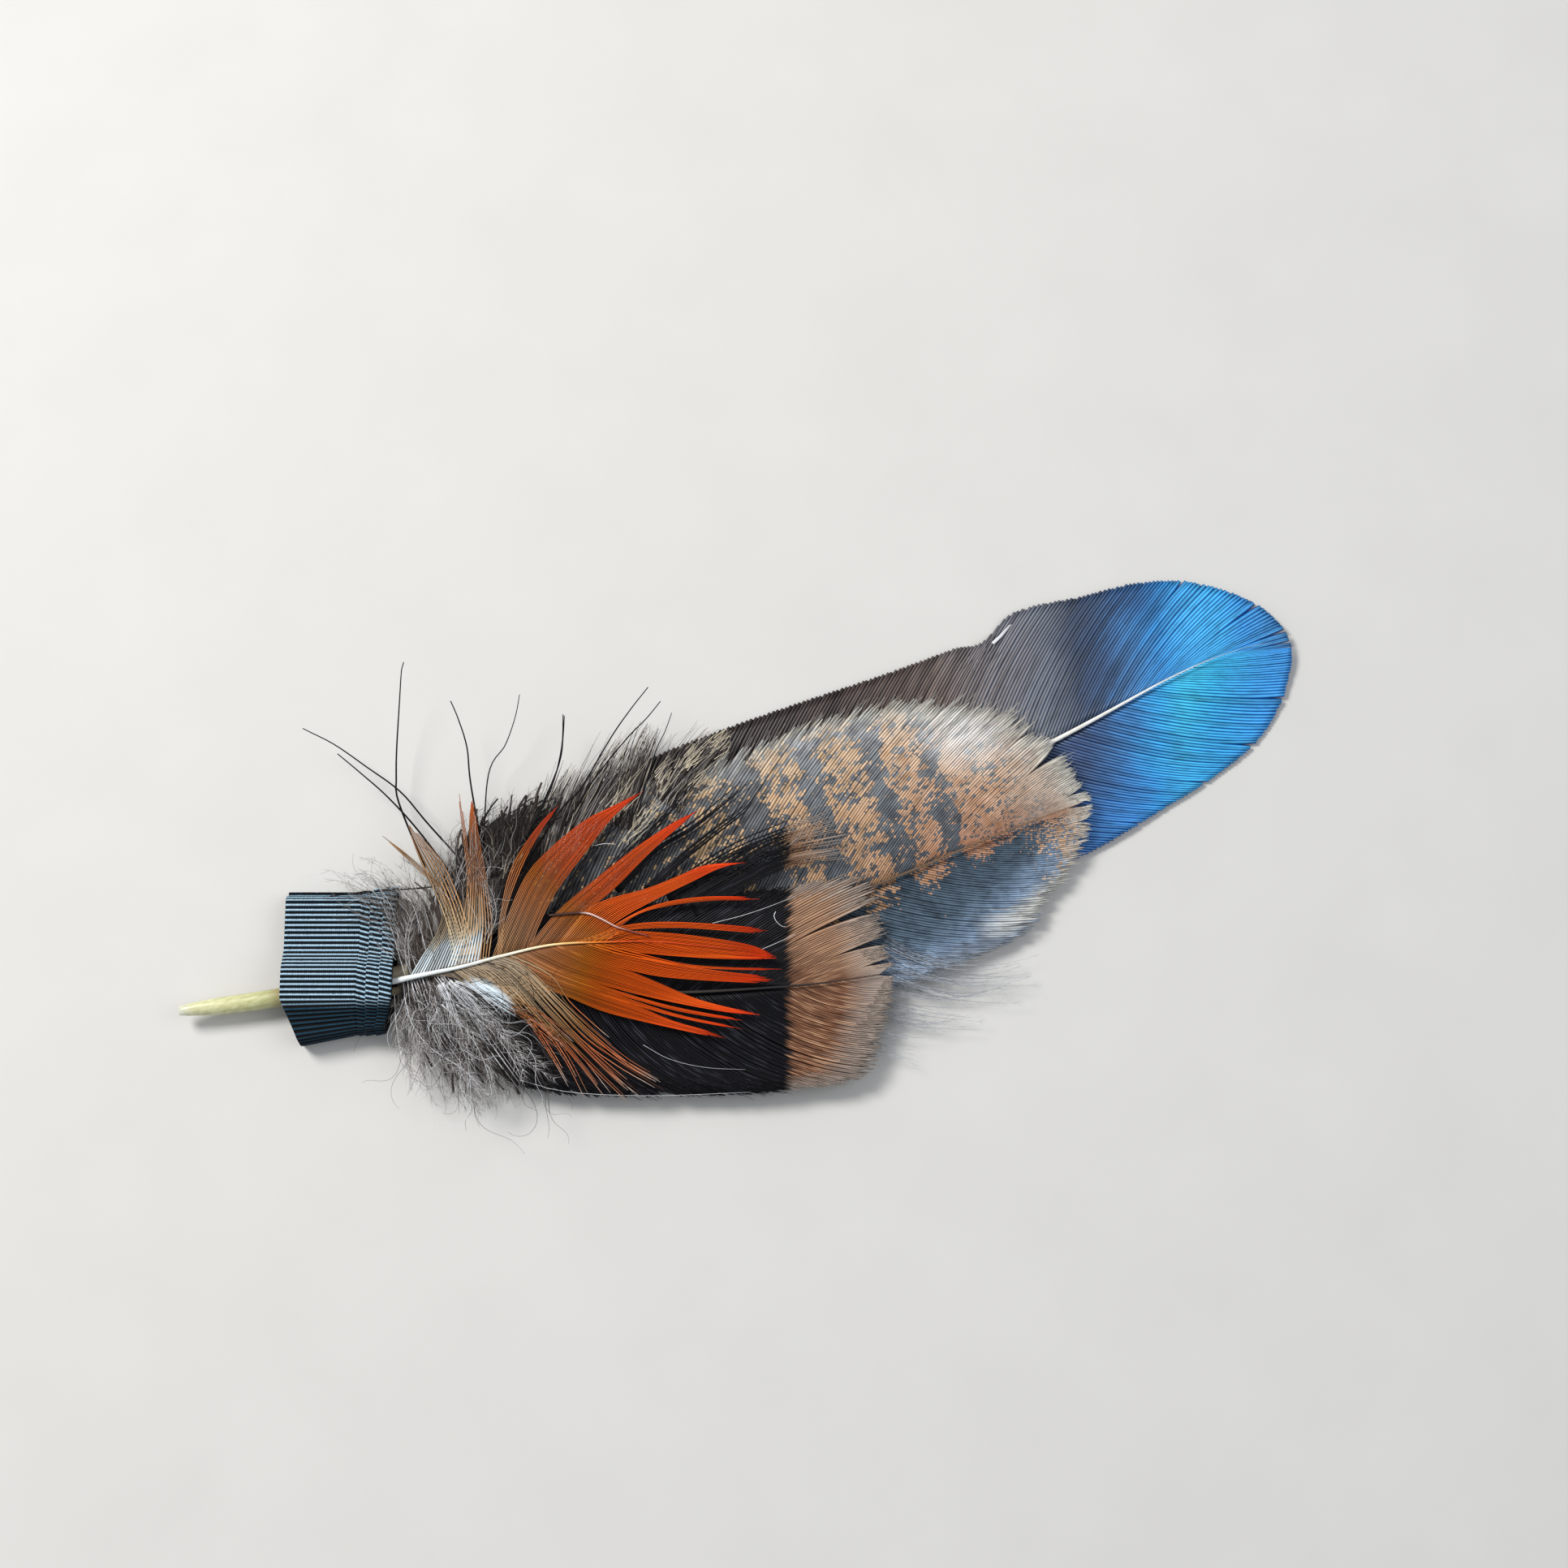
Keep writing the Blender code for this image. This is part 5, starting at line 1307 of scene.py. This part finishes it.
def make_mottled():
    vane = Strands()
    frayed_ends(vane, *half_vane(vane, MOTTLED, "upper", MOTTLED_UPPER_SPLITS, 21, fray=0.035), 23, per=4)
    frayed_ends(vane, *half_vane(vane, MOTTLED, "lower", MOTTLED_LOWER_SPLITS, 22, fray=0.04), 24, per=2)
    hold(vane.build("mottled_barbs", mottled_finish()), "mottled_feather")
    fringe = Strands()
    for i, (root, tip, width, bow, count) in enumerate(FRINGE_LOCKS):
        tuft(fringe, MOTTLED, root, tip, width, bow, count * 2, 200 + i, half=0.12, spread=1.0, stagger=0.18,
             curl=0.022, lift=0.6)
        tuft(fringe, MOTTLED, root, tip, width * 1.5, bow, count * 2, 250 + i, half=0.06, spread=1.3, stagger=0.22,
             curl=0.04, lift=1.0, above=0.4)
    curls(fringe, MOTTLED, CREAM_STREAKS, 150, 280, 2.6, 0.07, above=1.3, stray=0.16, curly=0.12, tone=0.9)
    hold(fringe.build("mottled_fringe", down_finish("fringe_finish", FRINGE_SHADES)), "mottled_feather")
    down = Strands()
    lines = []
    for i, (root, tip, width, bow, count) in enumerate(DOWN_LOCKS_BELOW):
        lines.extend(tuft(down, MOTTLED, root, tip, width, bow, count, 220 + i, half=0.06, spread=1.2, curl=0.03,
                          stagger=0.25))
    barbules(down, lines, 230, 0.9, 1.2, 0.018)
    hold(down.build("mottled_down", down_finish("grey_down_finish", GREY_SHADES, "c8ccd4")), "mottled_feather")
    dark = Strands()
    down_sheet(dark, MOTTLED, DARK_DOWN, 26, 240, half=0.42, curl=1.5, length=2.0, fine=0.026, above=0.6, thick=0.12,
               spacing=0.7)
    down_sheet(dark, MOTTLED, DARK_DOWN, 40, 244, half=0.07, curl=1.7, length=1.8, fine=0.022, above=1.0,
               spacing=0.62)
    hold(dark.build("dark_down", down_finish("dark_down_finish", DARK_SHADES)), "mottled_feather")
    horn = shaft_finish("mottled_quill_finish", [(-81, "c8bfa6"), (-40, "8c7a62"), (10, "5c4a3c"), (46, "8a6c50")])
    hold(shaft("mottled_shaft", MOTTLED, SMALL_SHAFT, horn), "mottled_feather")


def make_black_tan():
    vane = Strands()
    frayed_ends(vane, *half_vane(vane, BLACK_TAN, "upper", BLACK_UPPER_SPLITS, 31, fray=0.04), 33, per=3)
    frayed_ends(vane, *half_vane(vane, BLACK_TAN, "lower", BLACK_LOWER_SPLITS, 32, fray=0.03), 34, per=3)
    for i, (line, width, count) in enumerate(LOOSE_BARBS):
        bunch(vane, BLACK_TAN, line, width, count, 300 + i)
    hold(vane.build("black_tan_barbs", black_tan_finish()), "black_tan_feather")
    hairs = Strands()
    for i, (line, lift) in enumerate(HAIRS):
        bunch(hairs, BLACK_TAN, line, 0.4, 1, 330 + i, half=0.135, taper=0.5, lift=lift, stagger=0.0, points=30,
              over=loop_top)
    hold(hairs.build("black_hairs", down_finish("black_hair_finish", HAIR_SHADES, sheen=0.0)), "black_tan_feather")
    pale = Strands()
    for i, (line, half) in enumerate(PALE_STRAYS):
        bunch(pale, BLACK_TAN, line, 0.3, 1, 350 + i, half=half, above=0.4, stagger=0.0, points=16, taper=0.5)
    hold(pale.build("black_pale_strays", down_finish("pale_stray_finish", WHITE_SHADES)), "black_tan_feather")
    horn = shaft_finish("black_quill_finish", [(-81, "a8a090"), (-40, "4a4038"), (0, "1c1a1c"), (12, "4a382c")])
    hold(shaft("black_tan_shaft", BLACK_TAN, SMALL_SHAFT, horn), "black_tan_feather")


def make_orange():
    vane = Strands()
    for i, (one, other, count) in enumerate(FLAMES):
        fill = 0.36 if i < 4 else 0.40 if i < 7 else 0.47
        ruled_lock(vane, ORANGE, one, other, count if i < 4 else count * 5 // 4, 400 + i, fill=fill)
    hold(vane.build("orange_barbs", orange_finish()), "orange_feather")
    root = Strands()
    for i, (one, other, count) in enumerate(ROOT_LOCKS):
        ruled_lock(root, ORANGE, one, other, count, 425 + i, above=0.0, fill=0.6)
    hold(root.build("orange_root", root_finish()), "orange_feather")
    loose = Strands()
    for i, (line, width, count) in enumerate(LOWER_STRANDS):
        bunch(loose, ORANGE, line, width, count, 430 + i, half=0.14, above=0.0, stagger=0.06)
    hold(loose.build("orange_strands", strand_finish()), "orange_feather")
    curled = Strands()
    bunch(curled, ORANGE, CURLED_BARB, 0.3, 1, 436, half=0.14, above=0.35, stagger=0.0, points=24, taper=0.5)
    hold(curled.build("orange_curled_barb", curled_finish()), "orange_feather")
    soft = down_finish("brown_down_finish", BROWN_SHADES, dark_from=-43.5)
    below = Strands()
    down_sheet(below, ORANGE, DOWN_BELOW, 13, 440, above=-0.6, curl=1.2, half=0.045)
    curls(below, ORANGE, CURLS_BELOW, 300, 465, 9.0, 0.035)
    hold(below.build("orange_down_below", soft), "orange_feather")
    over = Strands()
    down_sheet(over, ORANGE, DOWN_ABOVE, 7, 460, above=-0.6, curl=1.6, half=0.04, over=loop_top, spacing=0.7)
    curls(over, ORANGE, CURLS_ABOVE, 300, 466, 6.5, 0.026, over=loop_top, curly=0.6)
    hold(over.build("orange_down_above", down_finish("dark_brown_down_finish", DARK_BROWN_SHADES)), "orange_feather")
    under = Strands()
    down_sheet(under, ORANGE, UNDER_BELOW, 10, 470, above=-1.5, curl=1.0, half=0.42, thick=0.15, spacing=1.6,
               length=2.0, fine=0.03)
    down_sheet(under, ORANGE, UNDER_ABOVE, 10, 472, above=-1.3, curl=1.0, half=0.42, thick=0.15, spacing=1.6,
               length=2.0, fine=0.03)
    hold(under.build("orange_under_down", down_finish("under_down_finish", UNDER_SHADES)), "orange_feather")
    white = Strands()
    for i, (line, width, count) in enumerate(WHITE_STRANDS):
        bunch(white, ORANGE, line, width, count, 480 + i, half=0.055, above=-0.3, stagger=0.2, lift=0.8,
              over=loop_top)
    curls(white, ORANGE, CURLS_BELOW, 50, 467, 9.0, 0.026, above=0.4)
    curls(white, ORANGE, CURLS_ABOVE, 26, 468, 5.0, 0.018, above=0.4, over=loop_top, curly=0.4)
    for i, (root, tip, width, bow, count) in enumerate(WHITE_TUFTS):
        tufts = tuft(white, ORANGE, root, tip, width, bow, count, 500 + i, half=0.06, spread=1.2, stagger=0.2,
                     curl=0.03, above=0.3)
        barbules(white, tufts, 520 + i, 0.5, 1.0, 0.016)
    hold(white.build("white_down", down_finish("white_down_finish", WHITE_SHADES)), "orange_feather")
    plumes = Strands()
    for i, line in enumerate(DOWN_PLUMES):
        made = bunch(plumes, ORANGE, line, 0.5, 2, 540 + i, half=0.06, above=0.25, stagger=0.06)
        barbules(plumes, made, 560 + i, 0.2, 1.9, 0.024 if i < 8 else 0.016)
    hold(plumes.build("down_plumes", down_finish("plume_finish", PLUME_SHADES)), "orange_feather")
    horn = shaft_finish("orange_quill_finish", [(-81, "eaf4fa"), (-42, "eef6fa"), (-34, "fff6dc"), (-28, "ffd890"),
                                                (-24.5, "f08a30"), (-21, "e4500c"), (-6, "e84a0c")])
    radii = [(0, 0.5), (0.18, 0.42), (0.28, 0.27), (0.4, 0.22), (0.6, 0.14), (0.75, 0.08), (1, 0.04)]
    hold(shaft("orange_shaft", ORANGE, radii, horn, low=0.35), "orange_feather")


def make_ribbon():
    loop = ribbon_loop(ribbon_finish())
    hold(loop, "ribbon_loop")
    round_way = np.linalg.norm(np.diff(loop_section(0, 0, 400), axis=0), axis=1).sum()


def main():
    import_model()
    place_camera()
    studio()
    make_blue()
    make_mottled()
    make_black_tan()
    make_orange()
    make_ribbon()
    view = bpy.context.scene.view_settings
    view.view_transform = "Standard"


main()
